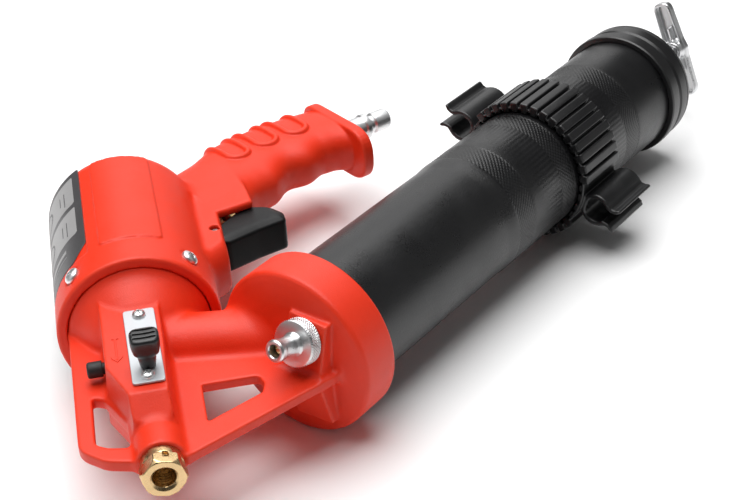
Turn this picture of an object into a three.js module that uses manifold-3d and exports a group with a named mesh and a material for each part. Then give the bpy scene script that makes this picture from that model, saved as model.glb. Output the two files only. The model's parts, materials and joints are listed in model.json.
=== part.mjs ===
import * as THREE from "three";
import { mergeVertices } from "three/addons/utils/BufferGeometryUtils.js";
import Module from "manifold-3d";

// Air-operated pistol-grip grease gun, lying on its side. Millimetres, +Z up.
// The grease barrel lies along +X and ends in the T-handle. The air motor, the
// grip and the barrel share one horizontal plane, at AXIS_HEIGHT.

// ---- driving dimensions -------------------------------------------------
const AXIS_HEIGHT = 35.46; // barrel axis above the surface the gun lies on
const ORIGIN_X = 99.438; // barrel datum to the middle of the bounding box
const ORIGIN_Y = 51.464;
const GAP = 0.3; // running and assembly clearance

const BARREL_R = 28; // 56 mm tube for a 400 g cartridge
const BARREL_WALL = 1.2;
const BARREL_FRONT = -9;
const BARREL_REAR = 251;
const CAP_R = 35.46;

const MOTOR_X = -38.1; // centre of the motor's front rim
const MOTOR_Y = 63.1;
const MOTOR_TURN = -131.5; // heading of the outlet, degrees from +X
const CASING_R = 33.2;
const CASING_LENGTH = 94;
const SPIGOT_R = 28.55;
const CYLINDER_R = 26.4;

const PLATE_HALF = 2.5; // loop and strut thickness / 2
const DECK_X = 10; // selector deck: datum, height there, and forward slope
const DECK_TOP = 18.6;
const DECK_SLOPE = 2.6;
const BOSS_R = 9.4;
const BOSS_END = 86.5;
const FEED_R = 12.7; // grease passage between cap and pump
const PLUNGER_R = 3.5;

const GRIP_TURN = -16; // grip axis, degrees from +X
const GRIP_END = 97;
const FLANGE_END = 102.8;

const CAP_SIDES = 36; // facets round the cap, barrel and end cap
const CASING_SIDES = 32; // facets round the motor

const COLLAR_FRONT = 152;
const COLLAR_LENGTH = 30;
const COLLAR_R = 31.6;
const CLIP_TURN = 18; // the hose clips stand this far out of the gun's plane
const END_CAP_FRONT = 240.5;
const T_HANDLE_X = 306;
const T_HANDLE_TURN = 67;

// ---- geometry helpers ---------------------------------------------------
const wasm = await Module();
wasm.setup();

const DEG = Math.PI / 180;
const up = new THREE.Vector3(0, 1, 0);

function solid(geometry) {
  const g = geometry.clone();
  g.deleteAttribute("normal");
  g.deleteAttribute("uv");
  const m = mergeVertices(g, 1e-4);
  return new wasm.Manifold(
    new wasm.Mesh({
      numProp: 3,
      vertProperties: m.attributes.position.array,
      triVerts: new Uint32Array(m.index.array),
    }),
  );
}

function geometryOf(manifold) {
  const m = manifold.getMesh();
  const g = new THREE.BufferGeometry();
  const xyz = new Float32Array(m.numVert * 3);
  for (let i = 0; i < m.numVert; i++) {
    for (let k = 0; k < 3; k++) {
      xyz[i * 3 + k] = m.vertProperties[i * m.numProp + k];
    }
  }
  g.setAttribute("position", new THREE.BufferAttribute(xyz, 3));
  g.setIndex(new THREE.BufferAttribute(new Uint32Array(m.triVerts), 1));
  g.computeVertexNormals();
  return g;
}

function union(list) {
  return list.reduce((a, b) => a.add(b));
}

function cut(base, list) {
  return list.reduce((a, b) => a.subtract(b), base);
}

// A solid of revolution about local X, from [x, r] pairs.
function turned(profile, segments = 40) {
  const pts = profile.map(([x, r]) => new THREE.Vector2(Math.max(r, 0), x));
  const closed = profile[0][1] > 0;
  let area = 0;
  for (let i = 0; i < pts.length; i++) {
    const p = pts[i];
    const q = pts[(i + 1) % pts.length];
    area += p.x * q.y - q.x * p.y;
  }
  if (area < 0) pts.reverse();
  if (closed) pts.push(pts[0].clone());
  return new THREE.LatheGeometry(pts, segments).rotateZ(-Math.PI / 2);
}

// A cylinder about local X from x0 to x1.
function rod(r, x0, x1, segments = 24) {
  return new THREE.CylinderGeometry(r, r, x1 - x0, segments)
    .rotateZ(-Math.PI / 2)
    .translate((x0 + x1) / 2, 0, 0);
}

// A cylinder between two points.
function bar(r, a, b, segments = 20) {
  const d = new THREE.Vector3().subVectors(b, a);
  const mid = new THREE.Vector3().addVectors(a, b).multiplyScalar(0.5);
  const q = new THREE.Quaternion().setFromUnitVectors(up, d.clone().normalize());
  return new THREE.CylinderGeometry(r, r, d.length(), segments)
    .applyQuaternion(q)
    .translate(mid.x, mid.y, mid.z);
}

function outline(points) {
  return new THREE.Shape(points.map(([x, y]) => new THREE.Vector2(x, y)));
}

// An outline with each corner rounded by its own radius: [x, y, r].
function rounded(points, steps = 4) {
  const out = [];
  const n = points.length;
  for (let i = 0; i < n; i++) {
    const [x, y, r = 0] = points[i];
    const p = new THREE.Vector2(x, y);
    if (r === 0) {
      out.push(p);
      continue;
    }
    const a = new THREE.Vector2(...points[(i + n - 1) % n]).sub(p).normalize();
    const b = new THREE.Vector2(...points[(i + 1) % n]).sub(p).normalize();
    const half = Math.acos(THREE.MathUtils.clamp(a.dot(b), -1, 1)) / 2;
    const leg = r / Math.tan(half);
    const start = p.clone().addScaledVector(a, leg);
    const end = p.clone().addScaledVector(b, leg);
    const curve = new THREE.QuadraticBezierCurve(start, p, end);
    out.push(...curve.getPoints(steps));
  }
  return new THREE.Shape(out);
}

// A plate from z0 to z1, with an optional rounded-over edge.
function plate(shape, z0, z1, bevel = 0, steps = 2) {
  const g = new THREE.ExtrudeGeometry(shape, {
    depth: z1 - z0 - 2 * bevel,
    bevelEnabled: bevel > 0,
    bevelThickness: bevel,
    bevelSize: bevel,
    bevelOffset: -bevel,
    bevelSegments: steps,
    curveSegments: 6,
  });
  return g.translate(0, 0, z0 + bevel);
}

function box(x0, x1, y0, y1, z0, z1) {
  return new THREE.BoxGeometry(x1 - x0, y1 - y0, z1 - z0).translate(
    (x0 + x1) / 2,
    (y0 + y1) / 2,
    (z0 + z1) / 2,
  );
}

// A round-wire helical spring about local X.
function coil(radius, wire, x0, x1, turns, sides = 6, perTurn = 12) {
  class Helix extends THREE.Curve {
    getPoint(t, target = new THREE.Vector3()) {
      const a = t * turns * 2 * Math.PI;
      const x = x0 + wire + t * (x1 - x0 - 2 * wire);
      return target.set(x, radius * Math.cos(a), radius * Math.sin(a));
    }
  }
  const section = new THREE.Shape();
  for (let i = 0; i < sides; i++) {
    const a = (2 * Math.PI * i) / sides;
    const p = [wire * Math.cos(a), wire * Math.sin(a)];
    if (i === 0) section.moveTo(...p);
    else section.lineTo(...p);
  }
  return new THREE.ExtrudeGeometry(section, {
    steps: Math.round(turns * perTurn),
    bevelEnabled: false,
    extrudePath: new Helix(),
  });
}

// ---- materials ----------------------------------------------------------
const finish = {
  coral_cast: { color: 0xe8452f, roughness: 0.6, metalness: 0.0 },
  coral_grip: { color: 0xea4a34, roughness: 0.62, metalness: 0.0 },
  black_coat: { color: 0x1b1b1d, roughness: 0.5, metalness: 0.2 },
  black_plastic: { color: 0x161617, roughness: 0.45, metalness: 0.0 },
  black_rubber: { color: 0x121212, roughness: 0.8, metalness: 0.0 },
  zinc_steel: { color: 0xc4c7ca, roughness: 0.28, metalness: 1.0 },
  plain_steel: { color: 0x9ea2a6, roughness: 0.35, metalness: 1.0 },
  brass: { color: 0xb8893f, roughness: 0.3, metalness: 1.0 },
  label_film: { color: 0xc9c9c9, roughness: 0.5, metalness: 0.0 },
};
const material = Object.fromEntries(
  Object.entries(finish).map(([k, v]) => [k, new THREE.MeshStandardMaterial(v)]),
);

function add(parent, name, shape, slot) {
  const g = shape.isBufferGeometry ? shape : geometryOf(shape);
  const mesh = new THREE.Mesh(g, material[slot]);
  mesh.name = name;
  parent.add(mesh);
  return mesh;
}

const gun = new THREE.Group();
gun.position.set(-ORIGIN_X, -ORIGIN_Y, AXIS_HEIGHT);

// Local +X of the motor group runs forward along the motor and plunger axis.
const motor = new THREE.Group();
motor.position.set(MOTOR_X, MOTOR_Y, 0);
motor.rotation.z = MOTOR_TURN * DEG;
gun.add(motor);

// Local +X of the grip group runs along the grip towards the air inlet.
const grip = new THREE.Group();
grip.rotation.z = GRIP_TURN * DEG;
gun.add(grip);
// The selector deck: local +X runs forward down the deck, +Z is its normal.
const deck = new THREE.Group();
deck.position.set(DECK_X, 0, DECK_TOP);
deck.rotation.y = DECK_SLOPE * DEG;
motor.add(deck);
for (const g of [gun, motor, grip, deck]) g.updateMatrixWorld(true);

const gunInverse = gun.matrixWorld.clone().invert();
const motorToGun = gunInverse.clone().multiply(motor.matrixWorld);
const gripToGun = gunInverse.clone().multiply(grip.matrixWorld);
const gunToMotor = motorToGun.clone().invert();
const gripToMotor = gunToMotor.clone().multiply(gripToGun);
const deckToMotor = deck.matrix.clone();

function inMotor(x, y) {
  const p = new THREE.Vector3(x, y, 0).applyMatrix4(gunToMotor);
  return [p.x, p.y];
}

// ---- pump head ----------------------------------------------------------
function domeProfile() {
  return [
    [-12, 0],
    [-12, SPIGOT_R],
    [-0.4, SPIGOT_R],
    [0.6, 27.6],
    [3, 25.9],
    [6, 23.9],
    [9.5, 21.8],
    [13, 19.5],
    [16, 17],
    [20, 13],
    [24, 0],
  ];
}

// The cap's front face swells forward to its middle, and its rim is broken.
function capProfile() {
  return [
    [-23.2, 0],
    [-22.9, 9],
    [-21.9, 18],
    [-20.1, 28],
    [-18.5, 33.8],
    [-17.6, CAP_R - 0.3],
    [-16.6, CAP_R],
    [-1, CAP_R],
    [0, CAP_R - 1],
    [0, BARREL_R + GAP],
    [-10, BARREL_R + GAP],
    [-10, 26.2],
    [-13.5, 25.6],
    [-15, 0],
  ];
}

const blockOutline = [
  [2, -14.8],
  [46.5, -14.8],
  [64, -8],
  [64, 6],
  [40, 7.2],
  [2, 8.2],
];
const blockFoot = [
  [2, -16.6],
  [46.8, -16.8],
  [63.5, -10],
  [66, -9.2],
  [66, 9.2],
  [2, 10.6],
];

// A block whose walls lean outwards from the top outline to the foot outline.
function drafted(top, foot, z0, z1) {
  const n = top.length;
  const g = plate(outline(top), z0, z1);
  const pos = g.attributes.position;
  for (let i = 0; i < pos.count; i++) {
    if (pos.getZ(i) > (z0 + z1) / 2) continue;
    let best = 0;
    for (let k = 1; k < n; k++) {
      const d0 = Math.hypot(pos.getX(i) - top[best][0], pos.getY(i) - top[best][1]);
      const d1 = Math.hypot(pos.getX(i) - top[k][0], pos.getY(i) - top[k][1]);
      if (d1 < d0) best = k;
    }
    pos.setX(i, foot[best][0]);
    pos.setY(i, foot[best][1]);
  }
  return g;
}

const loopOutline = rounded([
  [-3, -27.6],
  [0, -28.6, 0],
  [75.5, -29, 9],
  [85.6, -17, 10],
  [87, -8, 0],
  [84, 2, 0],
  [-3, 2, 0],
]);
const loopHole = rounded(
  [
    [44.2, -22, 2.2],
    [66.5, -23.3, 4],
    [75, -20.6, 4],
    [77.6, -10.4, 2],
    [63, -10.4, 2],
    [46.6, -17.6, 2],
  ],
  3,
);
const strutOutline = rounded([
  [88.2, 9.3, 0],
  [...inMotor(-24, -24.6), 0],
  [...inMotor(-13, -24.6), 0],
  [...inMotor(-13, 18), 0],
  [30, 30, 0],
  [8, 20, 0],
  [8, 0, 0],
  [84, 0, 0],
]);
const strutHole = rounded(
  [
    [...inMotor(-70.6, -1.8), 1],
    [...inMotor(-46.3, -7.3), 1.5],
    [...inMotor(-41.6, -4.4), 2],
    [...inMotor(-39.2, 0.4), 2.5],
    [...inMotor(-55.2, 14.8), 1],
  ],
  3,
);

const feedStart = new THREE.Vector3(13.5, -1.5, 0);
const feedEnd = new THREE.Vector3(...inMotor(-15.5, 13.3), 0);
const feedBoreEnd = new THREE.Vector3(...inMotor(-12, 13.6), 0);

// Bleeder boss: a wedge on the cap's face whose front leans back by 20 degrees.
const WEDGE_LEAN = 16.5 * DEG;
const WEDGE_Y = -12.2;
const WEDGE_FOOT = -29.8;
const WEDGE_TOP = 23.2;
function wedge(sign) {
  const side = outline([
    [WEDGE_FOOT, 0],
    [WEDGE_FOOT + WEDGE_TOP * Math.tan(WEDGE_LEAN), WEDGE_TOP],
    [-16, WEDGE_TOP],
    [-16, 0],
  ]);
  const g = new THREE.ExtrudeGeometry(side, { depth: 17.8, bevelEnabled: false });
  g.rotateX(Math.PI / 2).translate(0, WEDGE_Y + 8.9, 0);
  const s = solid(g);
  return sign > 0 ? s : s.mirror([0, 0, 1]);
}

const bleeder = new THREE.Group();
const BLEEDER_Y = -11.3;
const BLEEDER_Z = 14.7;
bleeder.position.set(
  WEDGE_FOOT + BLEEDER_Z * Math.tan(WEDGE_LEAN) - 0.05,
  BLEEDER_Y,
  BLEEDER_Z,
);
bleeder.rotation.order = "ZYX";
bleeder.rotation.y = -WEDGE_LEAN;
bleeder.rotation.z = Math.PI;
gun.add(bleeder);
bleeder.updateMatrixWorld(true);
const bleederToGun = gunInverse.clone().multiply(bleeder.matrixWorld);

function moved(geometry, matrix) {
  return geometry.clone().applyMatrix4(matrix);
}

const SCREW_ANGLES = [45, 135, 225, 315];
const SCREW_X = -9.6;

function radial(geometry, angle) {
  return geometry.clone().rotateX(-angle * DEG).translate(SCREW_X, 0, 0);
}

const DECK_SCREWS = [9.6, 47.4];
const SLOT_REAR = 25;
const SLOT_FRONT = 42.4;
const LEVER_Y = 0.6;

function makePumpHead() {
  let body = union([
    solid(turned(domeProfile(), CASING_SIDES)),
    solid(rod(BOSS_R, 0, BOSS_END, 24)),
    solid(drafted(blockOutline, blockFoot, -9, 20)).subtract(
      solid(moved(box(-12, 60, -20, 20, 0, 9), deckToMotor)),
    ),
    solid(plate(loopOutline, -PLATE_HALF, PLATE_HALF, 0.8, 1)),
    solid(plate(strutOutline, -PLATE_HALF + 0.7, PLATE_HALF)),
    solid(bar(FEED_R, feedStart, feedEnd, 26)),
  ]);
  // Front of the block slopes down to the outlet boss.
  const slope = outline([
    [62.4, 18],
    [72.6, 9.2],
    [90, 9.2],
    [90, 30],
    [62.4, 30],
  ]);
  const ramp = outline([
    [50, 16.2],
    [63.8, 16.2],
    [73, 8.6],
    [73, 2],
    [50, 2],
  ]);
  const rampSolid = new THREE.ExtrudeGeometry(ramp, {
    depth: 13.2,
    bevelEnabled: false,
  });
  rampSolid.rotateX(Math.PI / 2).translate(0, 5.6, 0);
  const slopeSolid = new THREE.ExtrudeGeometry(slope, {
    depth: 40,
    bevelEnabled: false,
  });
  slopeSolid.rotateX(Math.PI / 2).translate(0, 20, 0);
  body = body.add(solid(rampSolid)).subtract(solid(slopeSolid));

  const cap = union([
    solid(moved(turned(capProfile(), CAP_SIDES), gunToMotor)),
    ...[1, -1].map((s) => wedge(s).transform(gunToMotor.elements)),
  ]);
  body = body.add(cap);

  const cavity = turned(
    [
      [1, 0],
      [1, BARREL_R + GAP],
      [-10, BARREL_R + GAP],
      [-10, 26.2],
      [-13.5, 25.6],
      [-15, 0],
    ],
    CAP_SIDES,
  );
  const cuts = [
    solid(moved(cavity, gunToMotor)),
    solid(rod(PLUNGER_R + 0.25, -20, 71, 20)),
    solid(rod(6.2, 70, BOSS_END + 3, 24)),
    solid(rod(7.4, BOSS_END - 3.2, BOSS_END + 3, 28)),
    solid(rod(21, -13, -6, 32)),
    solid(bar(4.5, new THREE.Vector3(11.6, 0, 0), feedBoreEnd, 16)),
    solid(plate(loopHole, -6, 6)),
    solid(plate(strutHole, -6, 6)),
    // Lever slot and its screw holes in the block's top.
    solid(moved(plate(slotShape(SLOT_REAR, SLOT_FRONT, 3.4, LEVER_Y), -11.5, 5), deckToMotor)),
    solid(moved(plate(plateShape(0.4), 0, 5), deckToMotor)),
    ...DECK_SCREWS.map((x) =>
      solid(
        moved(
          new THREE.CylinderGeometry(1.5, 1.5, 10, 12)
            .rotateX(Math.PI / 2)
            .translate(x, 0, -3),
          deckToMotor,
        ),
      ),
    ),
    // Blind hole of the rubber plug in the block's left wall.
    solid(
      new THREE.CylinderGeometry(2.6, 2.6, 10, 16).translate(34.5, -14, 8),
    ),
    // Groove of the head seal, and screw holes round the spigot.
    solid(
      turned(
        [
          [-4.6, 26.6],
          [-4.6, 30],
          [-2, 30],
          [-2, 26.6],
        ],
        CASING_SIDES,
      ),
    ),
    ...SCREW_ANGLES.map((a) =>
      solid(radial(new THREE.CylinderGeometry(2.1, 2.1, 10, 12).rotateX(Math.PI / 2).translate(0, 0, 26), a)),
    ),
    // Bleeder hole through the wedge into the cap.
    ...[rod(3.3, -18, 2, 16), rod(9.9, 0, 12, 26)].map((g) =>
      solid(moved(g, gunToMotor.clone().multiply(bleederToGun))),
    ),
  ];
  return cut(body, cuts);
}

// The selector's cover plate, on the deck.
function plateShape(margin = 0) {
  const [x0, x1, w] = [5.6 - margin, 51 + margin, 6.05 + margin];
  return rounded([
    [x0, -w, 1.4],
    [x1, -w, 1.4],
    [x1, w, 1.4],
    [x0, w, 1.4],
  ], 2);
}

// A slot outline along X between two centres.
function slotShape(x0, x1, r, y = 0) {
  const s = new THREE.Shape();
  s.absarc(x1, y, r, -Math.PI / 2, Math.PI / 2, false);
  s.absarc(x0, y, r, Math.PI / 2, (3 * Math.PI) / 2, false);
  return s;
}

add(motor, "pump_head", makePumpHead(), "coral_cast");

// ---- motor housing with its pistol grip ---------------------------------
const casingProfile = [
  [0, 29],
  [0, 32.6],
  [-1.2, CASING_R],
  [-84, CASING_R],
  [-88, 32.4],
  [-91.5, 30.2],
  [-93.6, 26.5],
  [-CASING_LENGTH, 20],
  [-CASING_LENGTH - 0.6, 0],
  [-86, 0],
  [-86, CYLINDER_R],
  [-12.6, CYLINDER_R],
  [-12.6, 29],
];

// Grip sections: [distance along the grip, finger side, back, half thickness].
const gripSections = [
  [14, 92, 137.5, 13.2],
  [26, 95, 140.8, 13.2],
  [33, 98.5, 144.2, 13.1],
  [38, 101.5, 147.4, 13],
  [44, 102.5, 149.6, 12.8],
  [51, 105.2, 150.6, 12.5],
  [59, 108.2, 151.4, 12.4],
  [66, 110.3, 151.8, 12.4],
  [75, 110, 151.6, 12.4],
  [83, 111, 150.6, 12.4],
  [91, 112, 149, 12.4],
  [GRIP_END + 0.5, 106.5, 148, 12.4],
];

// The grip is a tapered tube of super-ellipse sections, grown by `swell`.
function gripBody(swell = 0, sides = 22) {
  const n = gripSections.length;
  const g = new THREE.CylinderGeometry(1, 1, 1, sides, n - 1);
  const pos = g.attributes.position;
  const grow = (c, p) => Math.sign(c) * Math.abs(c) ** p;
  for (let i = 0; i < pos.count; i++) {
    const t = pos.getY(i) + 0.5;
    const [x, finger, back, half] = gripSections[Math.round(t * (n - 1))];
    const r = Math.hypot(pos.getX(i), pos.getZ(i));
    const a = Math.atan2(pos.getZ(i), pos.getX(i));
    const mid = (finger + back) / 2;
    const reach = (back - finger) / 2 + swell;
    const lift = half + swell;
    const y = mid + (r > 0.5 ? reach * grow(Math.cos(a), 0.72) : 0);
    const z = r > 0.5 ? lift * grow(Math.sin(a), 0.72) : 0;
    pos.setXYZ(i, x, y, -z);
  }
  return g;
}

function uRib(x, floor) {
  const outer = rounded([
    [x - 6.7, 160, 0],
    [x - 6.7, floor, 6.4],
    [x + 6.7, floor, 6.4],
    [x + 6.7, 160, 0],
  ], 3);
  const inner = rounded([
    [x - 4.3, 161, 0],
    [x - 4.3, floor + 2.4, 4.1],
    [x + 4.3, floor + 2.4, 4.1],
    [x + 4.3, 161, 0],
  ], 3);
  return solid(plate(outer, -20, 20)).subtract(solid(plate(inner, -21, 21)));
}

const flangeOutline = rounded(
  [
    [-12.4, 96.6, 12],
    [12.4, 96.6, 12],
    [12.4, 149.4, 9],
    [-12.4, 149.4, 9],
  ],
  4,
);

// Trigger bay and the cheeks that carry the trigger pin, in the gun's plane.
const cheekOutline = rounded([
  [6.5, 52, 0],
  [13, 58.5, 4],
  [31.5, 80, 0],
  [44, 76.5, 0],
  [47.5, 71, 4],
  [58, 84, 0],
  [66, 104, 0],
  [60, 118.5, 0],
  [34, 116, 0],
  [-8, 66, 0],
]);
const bayOutline = rounded([
  [12, 60, 0],
  [16, 78, 3],
  [33, 92, 4],
  [53, 90, 3],
  [62, 60, 0],
]);
const TRIGGER_PIN = [21.4, 74.2];

// The cheeks' front edge leans back above and below the middle of the casting.
function cheekChamfer(sign, setBack) {
  const [x0, y0] = [13, 58.5];
  const heading = Math.atan2(80 - y0, 31.5 - x0);
  const g = new THREE.ExtrudeGeometry(
    outline([
      [0, 7.6],
      [8, 7.6],
      [8, 20],
      [-setBack * 2.2, 20],
    ]),
    { depth: 60, bevelEnabled: false },
  );
  g.applyMatrix4(
    new THREE.Matrix4().makeBasis(
      new THREE.Vector3(Math.sin(heading), -Math.cos(heading), 0),
      new THREE.Vector3(0, 0, 1),
      new THREE.Vector3(-Math.cos(heading), -Math.sin(heading), 0),
    ),
  );
  g.translate(x0 + 45 * Math.cos(heading), y0 + 45 * Math.sin(heading), 0);
  const s = solid(moved(g, gunToMotor));
  return sign > 0 ? s : s.mirror([0, 0, 1]);
}

const VALVE = { x: 45.6, y: 88, turn: 74 };
const valve = new THREE.Group();
valve.position.set(VALVE.x, VALVE.y, 0);
valve.rotation.z = VALVE.turn * DEG;
gun.add(valve);
valve.updateMatrixWorld(true);
const valveToGun = gunInverse.clone().multiply(valve.matrixWorld);
const PLUG_Y = 127.6;

function makeHousing() {
  const toMotor = (g, m) => solid(moved(g, m));
  const flange = new THREE.ExtrudeGeometry(flangeOutline, {
    depth: FLANGE_END - GRIP_END,
    bevelEnabled: false,
  });
  // Outline x is height, outline y is across the grip, depth is along it.
  flange.applyMatrix4(
    new THREE.Matrix4().makeBasis(
      new THREE.Vector3(0, 0, 1),
      new THREE.Vector3(0, 1, 0),
      new THREE.Vector3(-1, 0, 0),
    ),
  );
  flange.translate(FLANGE_END, 0, 0);
  const ribs = union([
    uRib(44.6, 121.2),
    uRib(61.8, 123.2),
    uRib(79, 123.2),
  ]).intersect(solid(gripBody(1.3)));
  let shape = union([
    solid(turned(casingProfile, CASING_SIDES)),
    solid(gripBody()).transform(gripToMotor.elements),
    ribs.transform(gripToMotor.elements),
    toMotor(flange, gripToMotor),
    cut(toMotor(plate(cheekOutline, -13.2, 13.2, 2.4, 1), gunToMotor), [
      cheekChamfer(1, 1.9),
      cheekChamfer(-1, 2.6),
    ]),
  ]);
  // Slightly raised flat panel along the top of the casing.
  const panel = solid(turned([
    [-15, 0],
    [-15, CASING_R + 0.7],
    [-84, CASING_R + 0.7],
    [-84, 0],
  ], CASING_SIDES)).intersect(
    solid(plate(rounded([
      [-84, -9.8, 3],
      [-15, -9.8, 3],
      [-15, 13.8, 3],
      [-84, 13.8, 3],
    ]), 20, 40)),
  );
  shape = shape.add(panel);
  const labelCut = turned([
    [-89, CASING_R - 0.5],
    [-89, CASING_R + 3],
    [-17, CASING_R + 3],
    [-17, CASING_R - 0.5],
  ], CASING_SIDES);
  const labelZone = solid(labelCut).intersect(
    solid(box(-90, -16, -40, -CASING_R * Math.sin(29 * DEG), -29, 29)),
  );
  const hollow = turned([
    [1, 0],
    [1, 29],
    [-12.6, 29],
    [-12.6, CYLINDER_R],
    [-86, CYLINDER_R],
    [-86, 0],
  ], CASING_SIDES);
  const cuts = [
    solid(hollow),
    labelZone,
    toMotor(plate(bayOutline, -9.3, 9.3), gunToMotor),
    toMotor(
      new THREE.CylinderGeometry(1.9, 1.9, 40, 14)
        .rotateX(Math.PI / 2)
        .translate(TRIGGER_PIN[0], TRIGGER_PIN[1], 0),
      gunToMotor,
    ),
    // Valve bore, air passage from the inlet, and the port to the cylinder.
    toMotor(rod(5.4, -2, 24, 20), gunToMotor.clone().multiply(valveToGun)),
    toMotor(
      bar(
        4,
        new THREE.Vector3(52, 113, 0),
        new THREE.Vector3(90, PLUG_Y, 0),
        14,
      ),
      gripToMotor,
    ),
    toMotor(
      rod(6.3, 84, FLANGE_END + 1, 20).translate(0, PLUG_Y, 0),
      gripToMotor,
    ),
    toMotor(
      bar(
        3,
        new THREE.Vector3(20, 108, 0),
        new THREE.Vector3(49.5, 101.5, 0),
        12,
      ),
      gunToMotor,
    ),
    ...SCREW_ANGLES.map((a) =>
      solid(radial(new THREE.CylinderGeometry(2.1, 2.1, 12, 12).rotateX(Math.PI / 2).translate(0, 0, 32), a)),
    ),
    // Flat spot faces under the four screw heads.
    ...SCREW_ANGLES.map((a) =>
      solid(radial(new THREE.CylinderGeometry(4.3, 4.3, 4, 20).rotateX(Math.PI / 2).translate(0, 0, 34.6), a)),
    ),
  ];
  return cut(shape, cuts);
}
add(motor, "motor_housing", makeHousing(), "coral_grip");

// ---- label shell --------------------------------------------------------
{
  const shell = solid(turned([
    [-88.7, CASING_R - 0.2],
    [-88.7, CASING_R + 0.15],
    [-17.3, CASING_R + 0.15],
    [-17.3, CASING_R - 0.2],
  ], CASING_SIDES));
  const zone = solid(
    box(-90, -16, -40, -CASING_R * Math.sin(29 * DEG) - 0.3, -28.6, 28.6),
  );
  add(motor, "label_plate", shell.intersect(zone), "label_film");
}

// ---- screws -------------------------------------------------------------
function panScrew(headR, headH, shankR, length) {
  const s = turned([
    [-length, 0],
    [-length, shankR],
    [0, shankR],
    [0, headR],
    [headH * 0.45, headR],
    [headH * 0.85, headR * 0.72],
    [headH, headR * 0.3],
    [headH, 0],
  ], 12);
  const slotA = box(headH * 0.45, headH + 1, -headR * 0.5, headR * 0.5, -0.4, 0.4);
  const slotB = box(headH * 0.45, headH + 1, -0.4, 0.4, -headR * 0.5, headR * 0.5);
  return cut(solid(s), [solid(slotA), solid(slotB)]);
}

const screwNames = [
  "housing_screw_upper_right",
  "housing_screw_lower_right",
  "housing_screw_lower_left",
  "housing_screw_upper_left",
];
SCREW_ANGLES.forEach((a, i) => {
  const g = new THREE.Group();
  g.position.set(SCREW_X, 0, 0);
  g.rotation.x = -a * DEG;
  const m = add(g, screwNames[i], panScrew(3.6, 2.4, 1.8, 8), "zinc_steel");
  m.position.z = 32.9;
  m.rotation.y = -Math.PI / 2;
  motor.add(g);
});

// ---- selector -----------------------------------------------------------
{
  const face = plateShape();
  const holes = DECK_SCREWS.map((x) => {
    const p = new THREE.Path();
    p.absarc(x, 0, 1.7, 0, 2 * Math.PI, true);
    return p;
  });
  const slot = new THREE.Path(
    slotShape(SLOT_REAR + 0.6, SLOT_FRONT - 0.6, 2.2, LEVER_Y)
      .getPoints(6)
      .reverse(),
  );
  face.holes.push(...holes, slot);
  add(deck, "selector_plate", plate(face, 0.25, 1.25), "zinc_steel");
  ["selector_screw_rear", "selector_screw_front"].forEach((name, i) => {
    const m = add(deck, name, panScrew(2.6, 1.9, 1.2, 5), "zinc_steel");
    m.position.set(DECK_SCREWS[i], 0, 1.5);
    m.rotation.y = -Math.PI / 2;
  });
  const lever = new THREE.Group();
  lever.position.set(SLOT_FRONT - 0.9, LEVER_Y, 0);
  deck.add(lever);
  const stem = union([
    solid(new THREE.CylinderGeometry(1.8, 1.8, 14, 16).rotateX(Math.PI / 2).translate(0, 0, -3)),
    solid(new THREE.CylinderGeometry(3, 3, 2, 16).rotateX(Math.PI / 2).translate(0, 0, -8.6)),
  ]);
  add(lever, "selector_stem", stem, "plain_steel");
  const knobShape = rounded([
    [-5.2, -5.5, 2.6],
    [4.6, -5.5, 2.6],
    [4.6, 5.5, 2.6],
    [-5.2, 5.5, 2.6],
  ], 3);
  let knob = solid(plate(knobShape, 7.6, 15.6, 1.6, 2));
  knob = knob.add(
    solid(new THREE.CylinderGeometry(3.4, 2.9, 7, 16).rotateX(Math.PI / 2).translate(0.2, 0, 5.2)),
  );
  knob = cut(knob, [
    solid(new THREE.CylinderGeometry(2.1, 2.1, 8, 16).rotateX(Math.PI / 2).translate(0, 0, 0.6)),
    ...[-3, -0.4, 2.2].map((x) => solid(box(x - 0.35, x + 0.35, -7, 7, 14.9, 17))),
  ]);
  add(lever, "selector_knob", knob, "black_plastic");
}

add(
  motor,
  "side_plug",
  turned([
    [0, 0],
    [0, 2.3],
    [6.1, 2.3],
    [6.1, 3.15],
    [11, 3.15],
    [12, 2.3],
    [12, 0],
  ], 18).rotateZ(-Math.PI / 2).translate(34.5, -10.4, 8),
  "black_rubber",
);

// ---- outlet fitting and check valve -------------------------------------
{
  const hexR = 15.2 / Math.sqrt(3);
  const hex = solid(
    new THREE.CylinderGeometry(hexR, hexR, 7.1, 6)
      .rotateZ(-Math.PI / 2)
      .rotateX(18 * DEG)
      .translate(92.15, 0, 0),
  ).intersect(
    solid(turned([
      [88.2, 0],
      [88.2, hexR - 0.6],
      [89.2, hexR + 0.5],
      [93.9, hexR + 0.5],
      [95.7, 7.5],
      [95.7, 0],
    ], 30)),
  );
  let fitting = union([
    solid(turned([
      [79, 0],
      [79, 5.8],
      [BOSS_END - 2.9, 5.8],
      [BOSS_END - 2.9, 6.9],
      [89.5, 6.9],
      [89.5, 0],
    ], 24)),
    hex,
  ]);
  fitting = cut(fitting, [
    solid(rod(2.2, 70, 97, 14)),
    solid(rod(4.15, 86, 97, 20)),
    solid(turned([
      [94.6, 0],
      [94.6, 4.1],
      [96.5, 5.4],
      [96.5, 0],
    ], 20)),
  ]);
  add(motor, "outlet_fitting", fitting, "brass");
  add(motor, "check_ball", new THREE.SphereGeometry(4.2, 14, 9).translate(72.4, 0, 0), "plain_steel");
}

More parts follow.
